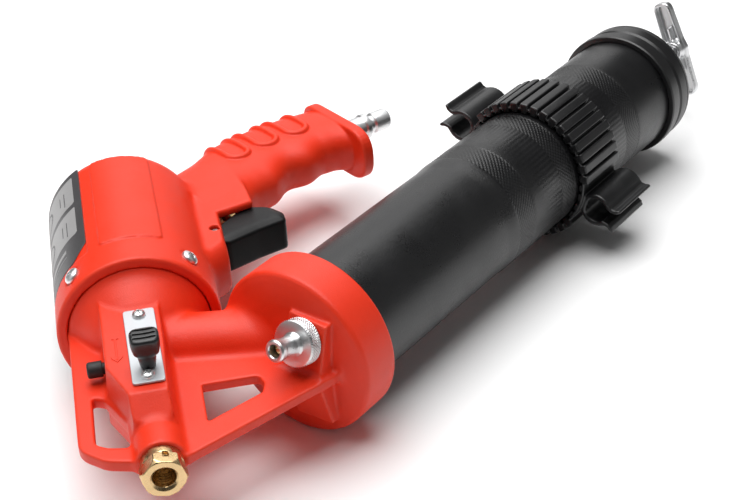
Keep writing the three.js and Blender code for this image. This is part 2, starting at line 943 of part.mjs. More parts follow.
// ---- air motor ----------------------------------------------------------
add(
  motor,
  "air_piston",
  turned([
    [-73, 0],
    [-73, 25.9],
    [-69.8, 25.9],
    [-69.8, 23.6],
    [-66.6, 23.6],
    [-66.6, 25.9],
    [-63, 25.9],
    [-63, 8],
    [-56, 8],
    [-56, 0],
  ], 32),
  "plain_steel",
);
add(
  motor,
  "piston_seal",
  turned([
    [-69.5, 23.9],
    [-69.5, 26],
    [-66.9, 26],
    [-66.9, 23.9],
  ], 32),
  "black_rubber",
);
add(motor, "plunger", rod(PLUNGER_R, -55.7, 12, 18), "plain_steel");
add(motor, "return_spring", coil(17, 1.1, -62.6, -6.6, 4, 4, 9), "plain_steel");
add(
  motor,
  "head_seal",
  turned([
    [-4.3, 27],
    [-4.3, 28.6],
    [-2.3, 28.6],
    [-2.3, 27],
  ], CASING_SIDES),
  "black_rubber",
);

// ---- trigger and air valve ----------------------------------------------
{
  const pad = rounded([
    [22.8, 67.2, 1],
    [37, 63.4, 8],
    [50.2, 58.6, 2],
    [54, 63.5, 3],
    [53.6, 69.5, 3],
    [46.8, 80.1, 3.5],
    [33, 79, 3],
    [19.2, 78, 2],
    [17.6, 72, 2],
  ], 3);
  let body = solid(plate(pad, -8.8, 8.8, 0.9, 1));
  body = body.subtract(
    solid(
      new THREE.CylinderGeometry(2, 2, 30, 14)
        .rotateX(Math.PI / 2)
        .translate(TRIGGER_PIN[0], TRIGGER_PIN[1], 0),
    ),
  );
  add(gun, "trigger", body, "black_plastic");
}
add(
  gun,
  "trigger_pin",
  new THREE.CylinderGeometry(1.5, 1.5, 23, 14)
    .rotateX(Math.PI / 2)
    .translate(TRIGGER_PIN[0], TRIGGER_PIN[1], 0),
  "plain_steel",
);
add(
  valve,
  "valve_bush",
  turned([
    [3.2, 2.1],
    [3.2, 5.1],
    [10.5, 5.1],
    [10.5, 2.1],
  ], 20),
  "brass",
);
add(
  valve,
  "valve_stem",
  turned([
    [-7.1, 0],
    [-7.1, 1.5],
    [-6.6, 1.8],
    [10.9, 1.8],
    [10.9, 4],
    [13, 4],
    [13.4, 1.5],
    [14.5, 1.5],
    [14.5, 0],
  ], 16),
  "plain_steel",
);
add(valve, "valve_spring", coil(2.9, 0.45, 13.9, 23.4, 3, 4, 8), "plain_steel");

// ---- air inlet ----------------------------------------------------------
add(
  grip,
  "air_inlet_plug",
  turned([
    [88, 3],
    [88, 5.9],
    [FLANGE_END + 0.3, 5.9],
    [FLANGE_END + 0.3, 7.6],
    [FLANGE_END + 6, 7.6],
    [FLANGE_END + 8.2, 6.2],
    [FLANGE_END + 13.4, 6.2],
    [FLANGE_END + 14, 5.2],
    [FLANGE_END + 17.4, 4.2],
    [FLANGE_END + 18.6, 5.4],
    [FLANGE_END + 20.6, 5.4],
    [FLANGE_END + 21.6, 4.4],
    [FLANGE_END + 28.4, 4.4],
    [FLANGE_END + 29.4, 3.6],
    [FLANGE_END + 29.4, 2.6],
    [FLANGE_END, 2.6],
  ], 18).translate(0, PLUG_Y, 0),
  "zinc_steel",
);

// ---- bleeder ------------------------------------------------------------
add(
  bleeder,
  "bleeder_body",
  cut(
    solid(turned([
      [-6, 0],
      [-6, 2.95],
      [0.3, 2.95],
      [0.3, 9],
      [0.8, 9.4],
      [5.4, 9.4],
      [6, 8.8],
      [6, 5],
      [7.8, 4],
      [13.8, 3.8],
      [14.6, 4.4],
      [16.6, 4.4],
      [17.2, 3.8],
      [17.2, 0],
    ], 26)),
    [solid(rod(1.2, -7, 21, 12)), solid(rod(2.5, 9.6, 21, 16))],
  ),
  "zinc_steel",
);
add(
  bleeder,
  "bleeder_pin",
  turned([
    [11, 0],
    [11, 0.9],
    [12.2, 2.1],
    [14, 2.1],
    [15, 0.8],
    [15, 0],
  ], 14),
  "plain_steel",
);

// ---- barrel group -------------------------------------------------------
add(
  gun,
  "barrel_seal",
  turned([
    [-9.7, 26.5],
    [-9.7, 28],
    [-9.3, 28],
    [-9.3, 26.5],
  ], CAP_SIDES),
  "black_rubber",
);
add(
  gun,
  "barrel_tube",
  turned([
    [BARREL_FRONT, BARREL_R - BARREL_WALL],
    [BARREL_FRONT, BARREL_R],
    [98, BARREL_R],
    [102, BARREL_R + 0.5],
    [BARREL_REAR, BARREL_R + 0.5],
    [BARREL_REAR, BARREL_R - BARREL_WALL],
  ], CAP_SIDES),
  "black_coat",
);
add(
  gun,
  "end_cap",
  turned([
    [END_CAP_FRONT, BARREL_R + 0.8],
    [END_CAP_FRONT, 30.9],
    [END_CAP_FRONT + 1, 31.3],
    [END_CAP_FRONT + 6.5, 31.3],
    [END_CAP_FRONT + 7.5, 30.3],
    [END_CAP_FRONT + 9.5, 30.3],
    [END_CAP_FRONT + 10.5, 30.9],
    [END_CAP_FRONT + 17, 30.9],
    [END_CAP_FRONT + 20.5, 29],
    [END_CAP_FRONT + 21.5, 27],
    [END_CAP_FRONT + 21.5, 9],
    [END_CAP_FRONT + 25, 8],
    [END_CAP_FRONT + 25, 3.4],
    [END_CAP_FRONT + 13, 3.4],
    [END_CAP_FRONT + 13, 26],
    [END_CAP_FRONT + 11, 26],
    [END_CAP_FRONT + 11, BARREL_R + 0.8],
  ], CAP_SIDES),
  "black_plastic",
);

// Ribbed collar with two hose clips.
function clipShape() {
  // Section of one hose clip in the collar's end view: a C with flared lips.
  const centre = COLLAR_R + 6.7;
  const arc = (r, from, to, steps) =>
    Array.from({ length: steps + 1 }, (_, i) => {
      const a = (from + ((to - from) * i) / steps) * DEG;
      return [centre + r * Math.cos(a), r * Math.sin(a)];
    });
  const lip = [
    [centre + 8, 5.2],
    [centre + 10.3, 6.3],
    [centre + 11.1, 5.6],
    [centre + 9, 3.6],
    [centre + 6.4, 3.4],
  ];
  return outline([
    ...arc(7.9, 48, 312, 16),
    ...lip.map(([x, y]) => [x, -y]),
    ...arc(5.8, 322, 38, 14),
    ...lip.slice().reverse(),
  ]);
}

function makeCollar() {
  const L = COLLAR_LENGTH;
  const pieces = [
    solid(turned([
      [0, 28.85],
      [0, COLLAR_R - 0.4],
      [0.5, COLLAR_R],
      [L - 0.5, COLLAR_R],
      [L, COLLAR_R - 0.4],
      [L, 28.85],
    ], CAP_SIDES)),
  ];
  const ribAngles = [];
  for (let a = 24; a <= 156; a += 9.4) ribAngles.push(a, a + 180);
  for (const a of ribAngles) {
    const rib = box(1.2, L - 1.2, -1.15, 1.15, COLLAR_R - 1, COLLAR_R + 1.9);
    pieces.push(solid(rib.rotateX((90 - a) * -DEG)));
  }
  for (const side of [0, 180]) {
    const clip = new THREE.ExtrudeGeometry(clipShape(), {
      depth: L,
      bevelEnabled: false,
    });
    clip.translate(0, 0, 2.4);
    // Outline x is outwards, outline y is around, depth is along the barrel.
    clip.applyMatrix4(
      new THREE.Matrix4().makeBasis(
        new THREE.Vector3(0, 1, 0),
        new THREE.Vector3(0, 0, 1),
        new THREE.Vector3(1, 0, 0),
      ),
    );
    const root = box(2.4, L, 28, COLLAR_R + 2, -4.2, 4.2);
    pieces.push(solid(clip.rotateX(side * DEG)), solid(root.rotateX(side * DEG)));
  }
  return cut(union(pieces), [solid(rod(28.85, -5, L + 8, CAP_SIDES))]);
}
{
  const m = add(gun, "clip_collar", makeCollar(), "black_plastic");
  m.position.x = COLLAR_FRONT;
  m.rotation.x = CLIP_TURN * DEG;
}

// Follower, its rod, spring and T-handle.
add(gun, "follower_rod", rod(3, 34, T_HANDLE_X - 1.2, 16), "zinc_steel");
add(
  gun,
  "follower_plate",
  turned([
    [42, 3.3],
    [42, 22],
    [45, 22],
    [45, 3.3],
  ], 24),
  "plain_steel",
);
add(
  gun,
  "follower_cup",
  turned([
    [38.5, 3.3],
    [38.5, 23],
    [36, 26.4],
    [38, 26.5],
    [41.7, 24],
    [41.7, 3.3],
  ], 28),
  "black_rubber",
);
add(gun, "follower_spring", coil(18, 1.2, 45.4, 252.8, 6, 4, 9), "plain_steel");
{
  const handle = new THREE.Group();
  handle.position.set(T_HANDLE_X, 0, 0);
  handle.rotation.x = T_HANDLE_TURN * DEG;
  gun.add(handle);
  const L = 26;
  const wing = rounded([
    [-L, -4.9, 4.6],
    [0, -6, 0],
    [L, -4.9, 4.6],
    [L, 4.9, 4.6],
    [0, 6, 0],
    [-L, 4.9, 4.6],
  ], 5);
  const recess = rounded([
    [-L + 1.6, -3.3, 3.1],
    [0, -4.4, 0],
    [L - 1.6, -3.3, 3.1],
    [L - 1.6, 3.3, 3.1],
    [0, 4.4, 0],
    [-L + 1.6, 3.3, 3.1],
  ], 5);
  // Wing length runs along local Y and the tray opens towards the barrel.
  const toAxis = new THREE.Matrix4().makeBasis(
    new THREE.Vector3(0, 1, 0),
    new THREE.Vector3(0, 0, 1),
    new THREE.Vector3(1, 0, 0),
  );
  const tray = cut(solid(moved(plate(wing, -3.2, 2.2, 0.6, 1), toAxis)), [
    solid(moved(plate(recess, -5, 0.6), toAxis)),
  ]);
  const hub = solid(turned([
    [-6, 0],
    [-6, 5],
    [1, 6],
    [1, 0],
  ], 20));
  const t = cut(union([tray, hub]), [solid(rod(3.3, -8, -0.8, 16))]);
  add(handle, "t_handle", t, "zinc_steel");
}

export default gun;
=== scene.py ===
"""Pistol-grip air grease gun lying on its side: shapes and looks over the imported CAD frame.

Cast and moulded parts are distance fields, so their fillets are real surfaces. Lengths in the
shape code are millimetres in the gun's frame (origin on the barrel axis at the cap's back rim,
+X towards the T-handle); they become metres when a mesh is made.
"""

import json
import math

import bpy
import numpy as np
from mathutils import Matrix, Vector


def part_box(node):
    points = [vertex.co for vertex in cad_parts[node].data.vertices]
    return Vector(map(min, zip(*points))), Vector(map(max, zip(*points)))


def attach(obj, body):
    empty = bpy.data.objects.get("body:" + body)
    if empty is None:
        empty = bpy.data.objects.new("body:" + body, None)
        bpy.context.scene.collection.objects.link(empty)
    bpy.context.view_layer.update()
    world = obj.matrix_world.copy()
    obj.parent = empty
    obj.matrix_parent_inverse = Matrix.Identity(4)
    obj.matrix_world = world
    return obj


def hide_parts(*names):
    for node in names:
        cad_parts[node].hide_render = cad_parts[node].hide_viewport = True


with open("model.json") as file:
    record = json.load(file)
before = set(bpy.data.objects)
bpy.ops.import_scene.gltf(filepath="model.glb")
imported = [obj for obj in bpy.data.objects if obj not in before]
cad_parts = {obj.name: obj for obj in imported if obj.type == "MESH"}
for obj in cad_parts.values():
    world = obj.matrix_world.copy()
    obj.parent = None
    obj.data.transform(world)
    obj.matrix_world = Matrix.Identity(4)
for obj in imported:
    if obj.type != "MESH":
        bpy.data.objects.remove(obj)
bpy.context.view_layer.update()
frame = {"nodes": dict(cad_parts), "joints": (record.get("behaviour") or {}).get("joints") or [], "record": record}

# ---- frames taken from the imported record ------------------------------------
MM = 0.001
record = frame["record"]
joints = {j["name"]: j for j in frame["joints"]}
mounts = {m["name"]: m for m in record["mounts"]}


def axes_from(x_axis):
    """Rows are the local X, Y, Z axes of a frame lying in the gun's plane."""
    x = np.array(x_axis, float)
    z = np.array([0.0, 0.0, 1.0])
    return np.array([x, np.cross(z, x), z])


DATUM = np.array(joints["barrel_turn"]["pos_m"]) / MM  # gun origin in the row frame
OUTLET_FACE = 95.7  # outlet nut's face, along the motor axis
MOUNT_UP = 6.5  # the outlet's mount point is on solid brass, this far above the motor's axis
MOTOR_AXES = axes_from(mounts["outlet_face"]["axis"])
MOTOR_AT = (
    np.array(mounts["outlet_face"]["pos_m"]) / MM
    - OUTLET_FACE * MOTOR_AXES[0]
    - np.array([0, 0, MOUNT_UP])
    - DATUM
)
GRIP_AXES = axes_from(mounts["air_inlet_face"]["axis"])
GRIP_AT = np.zeros(3)
BLEEDER_OUT = np.array(joints["bleeder_turn"]["axis"], float)
BLEEDER_AXES = np.array(
    [BLEEDER_OUT, [0.0, -1.0, 0.0], np.cross(BLEEDER_OUT, [0.0, -1.0, 0.0])]
)
BLEEDER_AT = np.array(joints["bleeder_turn"]["pos_m"]) / MM - DATUM
DECK_X, DECK_TOP = 10.0, 18.6
DECK_SLOPE = math.radians(2.6)
DECK_AXES = (
    np.array(
        [
            [math.cos(DECK_SLOPE), 0, -math.sin(DECK_SLOPE)],
            [0, 1, 0],
            [math.sin(DECK_SLOPE), 0, math.cos(DECK_SLOPE)],
        ]
    )
    @ MOTOR_AXES
)
DECK_AT = MOTOR_AT + DECK_X * MOTOR_AXES[0] + np.array([0, 0, DECK_TOP])


def local(p, at, axes):
    return (p - at) @ axes.T


def in_motor(p):
    return local(p, MOTOR_AT, MOTOR_AXES)


def in_grip(p):
    return local(p, GRIP_AT, GRIP_AXES)


# ---- distance fields -----------------------------------------------------------
def union(a, b, k=0.0):
    """Smooth minimum: k is about the fillet's radius."""
    if k <= 0:
        return np.minimum(a, b)
    h = np.maximum(k - np.abs(a - b), 0)
    return np.minimum(a, b) - h * h / (4 * k)


def common(a, b, k=0.0):
    return -union(-a, -b, k)


def carve(a, b, k=0.0):
    return -union(-a, b, k)


def polygon(x, y, pts):
    """Signed distance to a closed outline in a plane."""
    pts = np.asarray(pts, float)
    d = np.full(x.shape, 1e12)
    inside = np.zeros(x.shape, bool)
    for (ax, ay), (bx, by) in zip(pts, np.roll(pts, -1, 0)):
        ex, ey = bx - ax, by - ay
        wx, wy = x - ax, y - ay
        t = np.clip((wx * ex + wy * ey) / (ex * ex + ey * ey), 0, 1)
        d = np.minimum(d, (wx - t * ex) ** 2 + (wy - t * ey) ** 2)
        if ay != by:
            crosses = (ay > y) != (by > y)
            inside ^= crosses & (x < ax + ex * (y - ay) / ey)
    return np.where(inside, -1.0, 1.0) * np.sqrt(d)


def slab(d2, z, low, high, r=0.0):
    """A plane outline made into a plate from low to high, with its edges rounded by r."""
    dz = np.abs(z - (low + high) / 2) - (high - low) / 2
    a, b = d2 + r, dz + r
    return np.minimum(np.maximum(a, b), 0) + np.hypot(np.maximum(a, 0), np.maximum(b, 0)) - r


def turned(p, profile):
    """A solid of revolution about local X. Points on the axis run past it, so it has no edge."""
    pts = [(x, y if y > 0 else -40) for x, y in profile]
    return polygon(p[:, 0], np.hypot(p[:, 1], p[:, 2]), pts)


def rod(p, radius, x0, x1, r=0.0):
    return slab(np.hypot(p[:, 1], p[:, 2]) - radius, p[:, 0], x0, x1, r)


def bar(p, a, b, radius):
    a, b = np.array(a, float), np.array(b, float)
    d = b - a
    length = np.linalg.norm(d)
    d /= length
    w = p - a
    t = w @ d
    return slab(np.linalg.norm(w - t[:, None] * d, axis=1) - radius, t, 0, length)


def box(p, low, high, r=0.0):
    low, high = np.array(low, float), np.array(high, float)
    q = np.abs(p - (low + high) / 2) - (high - low) / 2 + r
    return np.minimum(q.max(1), 0) + np.linalg.norm(np.maximum(q, 0), axis=1) - r


def oblong(x, y, x0, x1, r, y0=0.0):
    """Distance to a slot outline along x."""
    return np.hypot(x - np.clip(x, x0, x1), y - y0) - r


# ---- field to mesh ---------------------------------------------------------------
CORNERS = np.array([(i, j, k) for i in (0, 1) for j in (0, 1) for k in (0, 1)])
EDGES = [
    (a, b)
    for a in range(8)
    for b in range(a + 1, 8)
    if np.abs(CORNERS[a] - CORNERS[b]).sum() == 1
]
COARSE = 6  # fine cells per coarse cell, for skipping empty space
BATCH = 400000  # grid points worked out at once
PULLS = 3  # times that each vertex is moved onto the true surface
SLOPE_STEP = 0.08  # half the span over which a field's gradient is taken


def sample(field, low, step, shape):
    """Field values on a grid, worked out only near the surface."""
    blocks = -(-(np.array(shape)) // COARSE)
    size = step * COARSE
    index = np.stack(np.meshgrid(*[np.arange(n) for n in blocks], indexing="ij"), -1)
    centres = low + (index.reshape(-1, 3) + 0.5) * size
    coarse = field(centres).reshape(blocks)
    # Past half a block's diagonal, with some slack for fields that aren't exact distances.
    reach = 0.62 * np.linalg.norm(size) + 1.2
    near = np.abs(coarse) < reach
    out = np.where(coarse < 0, -1.0, 1.0).astype(np.float32)
    for axis in range(3):
        out = np.repeat(out, COARSE, axis)
        near = np.repeat(near, COARSE, axis)
    out = out[: shape[0], : shape[1], : shape[2]]
    near = near[: shape[0], : shape[1], : shape[2]]
    where = np.argwhere(near)
    for start in range(0, len(where), BATCH):
        part = where[start : start + BATCH]
        out[tuple(part.T)] = field(low + part * step)
    return out


def surface(field, low, high, step):
    """Surface nets over the field, with each vertex then moved onto the true surface."""
    step = np.array([step] * 3 if np.isscalar(step) else step, float)
    low = np.array(low, float) - 2.3 * step
    shape = tuple(int(n) for n in np.ceil((np.array(high) - low) / step) + 4)
    f = sample(field, low, step, shape)
    cells = tuple(n - 1 for n in shape)
    full = np.zeros(cells, np.int8)
    for c in CORNERS:
        part = f[tuple(slice(o, o + n) for o, n in zip(c, cells))]
        full += part < 0
    cell = np.argwhere((full > 0) & (full < 8))
    number = np.full(cells, -1, np.int64)
    number[tuple(cell.T)] = np.arange(len(cell))
    value = np.stack([f[tuple((cell + c).T)] for c in CORNERS], 1)
    total = np.zeros((len(cell), 3))
    count = np.zeros(len(cell))
    for a, b in EDGES:
        hit = (value[:, a] < 0) != (value[:, b] < 0)
        gap = np.where(hit, value[:, a] - value[:, b], 1)
        t = value[:, a] / gap
        spot = CORNERS[a] + t[:, None] * (CORNERS[b] - CORNERS[a])
        total += np.where(hit[:, None], spot, 0)
        count += hit
    points = low + (cell + total / count[:, None]) * step
    quads = []
    for axis in range(3):
        u, v = (axis + 1) % 3, (axis + 2) % 3
        lo = [slice(1, n - 1) for n in shape]
        hi = list(lo)
        lo[axis], hi[axis] = slice(0, shape[axis] - 1), slice(1, shape[axis])
        a, b = f[tuple(lo)] < 0, f[tuple(hi)] < 0
        spot = np.argwhere(a != b)
        base = spot + 1
        base[:, axis] -= 1
        ring = []
        for du, dv in ((-1, -1), (0, -1), (0, 0), (-1, 0)):
            q = base.copy()
            q[:, u] += du
            q[:, v] += dv
            ring.append(number[tuple(q.T)])
        quad = np.stack(ring, 1)
        outward = a[tuple(spot.T)]
        quads.append(np.where(outward[:, None], quad, quad[:, ::-1]))
    quads = np.concatenate(quads)
    eps = SLOPE_STEP
    for _ in range(PULLS):
        d = field(points)
        grad = np.stack(
            [field(points + eps * e) - field(points - eps * e) for e in np.eye(3)], 1
        ) / (2 * eps)
        size = np.maximum((grad**2).sum(1), 0.25)
        shift = -(d / size)[:, None] * grad
        length = np.linalg.norm(shift, axis=1, keepdims=True)
        points += shift * np.minimum(1, 0.35 * step.min() / np.maximum(length, 1e-9))
    return points, quads


def make_object(name, points, faces, material, body, slot, replaces=()):
    """A piece from gun-frame millimetres, riding on its body."""
    mesh = bpy.data.meshes.new(name)
    xyz = (np.asarray(points) + DATUM) * MM
    faces = [list(map(int, q)) for q in faces]
    corner = np.array([q[:3] for q in faces])
    if len(faces[0]) == 4 and all(len(q) == 4 for q in faces):
        corner = np.concatenate([corner, np.array(faces)[:, [0, 2, 3]]])
    a, b, c = (points[corner[:, k]] for k in range(3))
    if (np.cross(a, b) * c).sum() < 0:
        faces = [q[::-1] for q in faces]
    mesh.from_pydata(xyz.tolist(), [], faces)
    mesh.polygons.foreach_set("use_smooth", [True] * len(mesh.polygons))
    mesh.update()
    mesh.validate()
    mesh.materials.append(material)
    piece = bpy.data.objects.new(name, mesh)
    bpy.context.scene.collection.objects.link(piece)
    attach(piece, body)
    if replaces:
        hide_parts(*replaces)
    return piece


def sharpen(piece, angle):
    """Shade smooth, but keep edges steeper than angle degrees crisp."""
    mesh = piece.data
    normals = np.array([p.normal[:] for p in mesh.polygons])
    owners = {}
    for p in mesh.polygons:
        for key in p.edge_keys:
            owners.setdefault(key, []).append(p.index)
    limit = math.cos(math.radians(angle))
    for e in mesh.edges:
        pair = owners.get(tuple(sorted(e.vertices)), [])
        if len(pair) == 2 and normals[pair[0]] @ normals[pair[1]] < limit:
            e.use_edge_sharp = True


def lathe(profile, at, axes, sides=128, wave=None):
    """Points and quads of a closed [x, r] outline turned about a frame's X axis."""
    profile = np.array(profile, float)
    turn = np.arange(sides) * 2 * math.pi / sides
    x, r = profile[:, 0][:, None], profile[:, 1][:, None]
    radius = np.repeat(r, sides, 1)
    if wave is not None:
        radius = radius + wave(np.repeat(x, sides, 1), np.repeat(turn[None], len(profile), 0))
    pts = np.stack(
        [np.repeat(x, sides, 1), radius * np.cos(turn), radius * np.sin(turn)], -1
    ).reshape(-1, 3)
    faces = []
    rows = len(profile)
    for i in range(rows):
        n = (i + 1) % rows
        if n == 0 and profile[0, 1] == 0 and profile[-1, 1] == 0:
            break
        for j in range(sides):
            m = (j + 1) % sides
            quad = [i * sides + j, n * sides + j, n * sides + m, i * sides + m]
            if profile[i, 1] == 0:
                quad = [i * sides, n * sides + j, n * sides + m]
            elif profile[n, 1] == 0:
                quad = [i * sides + j, n * sides, i * sides + m]
            faces.append(quad)
    used = sorted({v for q in faces for v in q})
    renumber = {v: k for k, v in enumerate(used)}
    faces = [[renumber[v] for v in q] for q in faces]
    return at + pts[used] @ axes, faces


def rounded_profile(points, steps=4):
    """An [x, r, radius] outline with its corners rounded."""
    out = []
    pts = [np.array(p[:2], float) for p in points]
    radii = [p[2] if len(p) > 2 else 0 for p in points]
    n = len(pts)
    for i in range(n):
        p, r = pts[i], radii[i]
        if r <= 0:
            out.append(p)
            continue
        a = pts[i - 1] - p
        b = pts[(i + 1) % n] - p
        la, lb = np.linalg.norm(a), np.linalg.norm(b)
        a, b = a / la, b / lb
        half = math.acos(np.clip(a @ b, -0.999, 0.999)) / 2
        leg = min(r / math.tan(half), 0.49 * la, 0.49 * lb)
        start, end = p + a * leg, p + b * leg
        for t in np.linspace(0, 1, steps + 1):
            out.append((1 - t) ** 2 * start + 2 * t * (1 - t) * p + t * t * end)
    return out


# ---- materials ---------------------------------------------------------------------
def nodes_of(name):
    m = bpy.data.materials.new(name)
    m.use_nodes = True
    return m, m.node_tree.nodes, m.node_tree.links


def finish(
    name,
    color,
    rough,
    metal=0.0,
    shade=0.12,
    patch=60,
    grain=900,
    bump=0.1,
    depth=0.00006,
    rough_swing=0.1,
    edge=0.0,
    edge_color=(0.9, 0.9, 0.9),
    stretch=(1, 1, 1),
    specular=0.5,
):
    """A procedural surface: colour drift, fine grain in height and gloss, and lighter convex edges (a painted
    highlight on the coral coats, rubbed wear on the other finishes).
    """
    m, nodes, links = nodes_of(name)
    shader = nodes["Principled BSDF"]
    shader.inputs["Metallic"].default_value = metal
    shader.inputs["Specular IOR Level"].default_value = specular
    place = nodes.new("ShaderNodeTexCoord")
    scale = nodes.new("ShaderNodeMapping")
    scale.inputs["Scale"].default_value = stretch
    links.new(place.outputs["Object"], scale.inputs["Vector"])

    def noise(size, detail, rough_noise=0.55):
        n = nodes.new("ShaderNodeTexNoise")
        n.inputs["Scale"].default_value = size
        n.inputs["Detail"].default_value = detail
        n.inputs["Roughness"].default_value = rough_noise
        links.new(scale.outputs["Vector"], n.inputs["Vector"])
        return n.outputs["Fac"]

    def ramp(source, low, high, a, b):
        r = nodes.new("ShaderNodeMapRange")
        r.inputs["From Min"].default_value = low
        r.inputs["From Max"].default_value = high
        r.inputs["To Min"].default_value = a
        r.inputs["To Max"].default_value = b
        links.new(source, r.inputs["Value"])
        return r.outputs["Result"]

    def mix(factor, a, b):
        n = nodes.new("ShaderNodeMix")
        n.data_type = "RGBA"
        links.new(factor, n.inputs["Factor"])
        for socket, value in (("A", a), ("B", b)):
            target = [s for s in n.inputs if s.name == socket and s.type == "RGBA"][0]
            if isinstance(value, tuple):
                target.default_value = (*value, 1)
            else:
                links.new(value, target)
        return [s for s in n.outputs if s.type == "RGBA"][0]

    dark = tuple(c * (1 - shade) for c in color)
    light = tuple(min(1, c * (1 + shade)) for c in color)
    fine = noise(grain, 3, 0.65)
    broad = noise(patch, 4)
    tone = mix(ramp(broad, 0.35, 0.65, 0, 1), dark, light)
    speck = mix(ramp(fine, 0.3, 0.7, 0, 1), tuple(c * 0.93 for c in color), color)
    blend = nodes.new("ShaderNodeMix")
    blend.data_type = "RGBA"
    blend.inputs["Factor"].default_value = 0.5
    colour_in = [s for s in blend.inputs if s.type == "RGBA"]
    links.new(tone, colour_in[0])
    links.new(speck, colour_in[1])
    result = [s for s in blend.outputs if s.type == "RGBA"][0]
    if edge > 0:
        # Lighter colour on convex edges: a painted highlight on the coral coats, rubbed wear on the black, zinc
        # and brass finishes.
        shape = nodes.new("ShaderNodeNewGeometry")
        edge_highlight_and_wear = ramp(shape.outputs["Pointiness"], 0.515, 0.56, 0, edge)
        result = mix(edge_highlight_and_wear, result, edge_color)
    links.new(result, shader.inputs["Base Color"])
    swing = ramp(broad, 0.3, 0.7, rough - rough_swing, rough + rough_swing)
    gloss = nodes.new("ShaderNodeMath")
    gloss.operation = "ADD"
    gloss.use_clamp = True
    links.new(swing, gloss.inputs[0])
    links.new(ramp(fine, 0.3, 0.7, -0.05, 0.05), gloss.inputs[1])
    links.new(gloss.outputs["Value"], shader.inputs["Roughness"])
    height = nodes.new("ShaderNodeBump")
    height.inputs["Strength"].default_value = bump
    height.inputs["Distance"].default_value = depth
    links.new(fine, height.inputs["Height"])
    links.new(height.outputs["Normal"], shader.inputs["Normal"])
    return m


CORAL = (0.78, 0.032, 0.006)
# The coral coats' edge colour is the lit coral, so their lighter edges are a painted edge highlight, not wear.
coral = finish(
    "coral_powder_coat", CORAL, 0.46, shade=0.06, grain=1500, bump=0.6, depth=0.00014,
    rough_swing=0.05, specular=0.34, edge=0.16, edge_color=(0.9, 0.13, 0.07),
)
# The same painted edge highlight as the coat above.
coral_head = finish(
    "coral_powder_coat_head", CORAL, 0.44, shade=0.07, grain=1700, bump=0.7, depth=0.00015,
    rough_swing=0.05, specular=0.38, edge=0.16, edge_color=(0.9, 0.13, 0.07),
)
black_coat = finish(
    "black_powder_coat", (0.0045, 0.0045, 0.005), 0.33, shade=0.2, grain=1400, bump=0.7,
    depth=0.00012, rough_swing=0.05,
)
black_plastic = finish(
    "black_moulded_plastic", (0.0045, 0.0045, 0.005), 0.37, shade=0.2, grain=1300, bump=0.4,
    depth=0.00006, rough_swing=0.06, specular=0.64, edge=0.12, edge_color=(0.03, 0.03, 0.032),
)
black_trigger = finish(
    "black_trigger_plastic", (0.004, 0.004, 0.0044), 0.44, shade=0.2, grain=1300, bump=0.4,
    depth=0.00006, rough_swing=0.06, specular=0.26, edge=0.12, edge_color=(0.02, 0.02, 0.021),
)
black_rubber = finish(
    "black_rubber", (0.008, 0.008, 0.0085), 0.6, shade=0.2, grain=1000, bump=0.4, depth=0.00006,
)
zinc = finish(
    "bright_zinc_plate", (0.74, 0.745, 0.75), 0.34, metal=1.0, shade=0.06, grain=700, bump=0.04,
    depth=0.00004, rough_swing=0.06, edge=0.3, edge_color=(0.85, 0.85, 0.86),
)
steel = finish(
    "ground_steel", (0.5, 0.505, 0.51), 0.32, metal=1.0, shade=0.1, grain=1200, bump=0.2,
    depth=0.00004, rough_swing=0.08,
)
satin_plate = finish(
    "satin_steel_plate", (0.54, 0.56, 0.58), 0.6, metal=1.0, shade=0.05, grain=2600, bump=0.2,
    depth=0.00003, rough_swing=0.05, stretch=(0.2, 1, 1),
)
brass = finish(
    "machined_brass", (0.68, 0.48, 0.25), 0.28, metal=1.0, shade=0.16, patch=180, grain=900,
    bump=0.15, depth=0.00004, rough_swing=0.08, edge=0.35, edge_color=(0.85, 0.6, 0.28),
)

# Looks of the CAD parts that no Blender piece stands in for.
SLOT_LOOKS = {
    "coral_cast": coral_head,
    "coral_grip": coral,
    "black_coat": black_coat,
    "black_plastic": black_plastic,
    "black_rubber": black_rubber,
    "zinc_steel": zinc,
    "plain_steel": steel,
    "brass": brass,
    "label_film": black_plastic,
}
slot_of = {s["node"]: s["material_slot"] for s in record["subparts"]}
body_of = {n: b for b, ns in record["behaviour"]["bodies"].items() for n in ns}
for node, piece in frame["nodes"].items():
    piece.data.materials.clear()
    piece.data.materials.append(SLOT_LOOKS[slot_of[node]])


def cast(name, field, step, material, node):
    """A casting meshed over the box of the CAD part that it stands for."""
    low, high = (np.array(corner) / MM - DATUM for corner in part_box(node))
    points, quads = surface(field, low, high, step)
    make_object(name, points, quads, material, body_of[node], slot_of[node], (node,))


# ---- pump head ---------------------------------------------------------------------
DOME = [
    (-12, 0), (-12, 28.55), (-0.4, 28.55), (0.3, 28.2), (0.6, 27.6), (1.6, 26.5), (2.6, 25.7),
    (4.2, 24.7), (6, 23.7), (8, 22.6), (9.9, 21.5), (11.8, 20.4), (13.7, 19.1), (15.2, 17.9),
    (16.5, 16.7), (18.5, 14.8), (20.5, 12.4), (22.5, 9), (24, 0),
]
BLOCK_TOP = [
    (2, -14.8), (46.5, -14.8), (64, -8), (73, -7), (73, 5.6), (64, 6), (40, 7.2), (2, 8.2),
]
BLOCK_FOOT = [
    (2, -16.6), (46.8, -16.8), (63.5, -10), (73, -9), (73, 9), (66, 9.2), (40, 9.8), (2, 10.6),
]
LOOP = rounded_profile(
    [(-3, -27.6), (0, -28.6), (74.5, -28.6, 11), (83, -19.6, 11), (88, -4), (84, 2), (-3, 2)], 12
)
LOOP_HOLE = rounded_profile(
    [
        (44.2, -22, 2.2), (58, -22.2, 9), (72.4, -22.3, 4), (75.4, -18, 4), (77.5, -10.2, 2),
        (63, -10.4, 2), (46.6, -17.6, 2),
    ],
    6,
)


def motor_point(x, y):
    return tuple(in_motor(np.array([[x, y, 0.0]]))[0, :2])


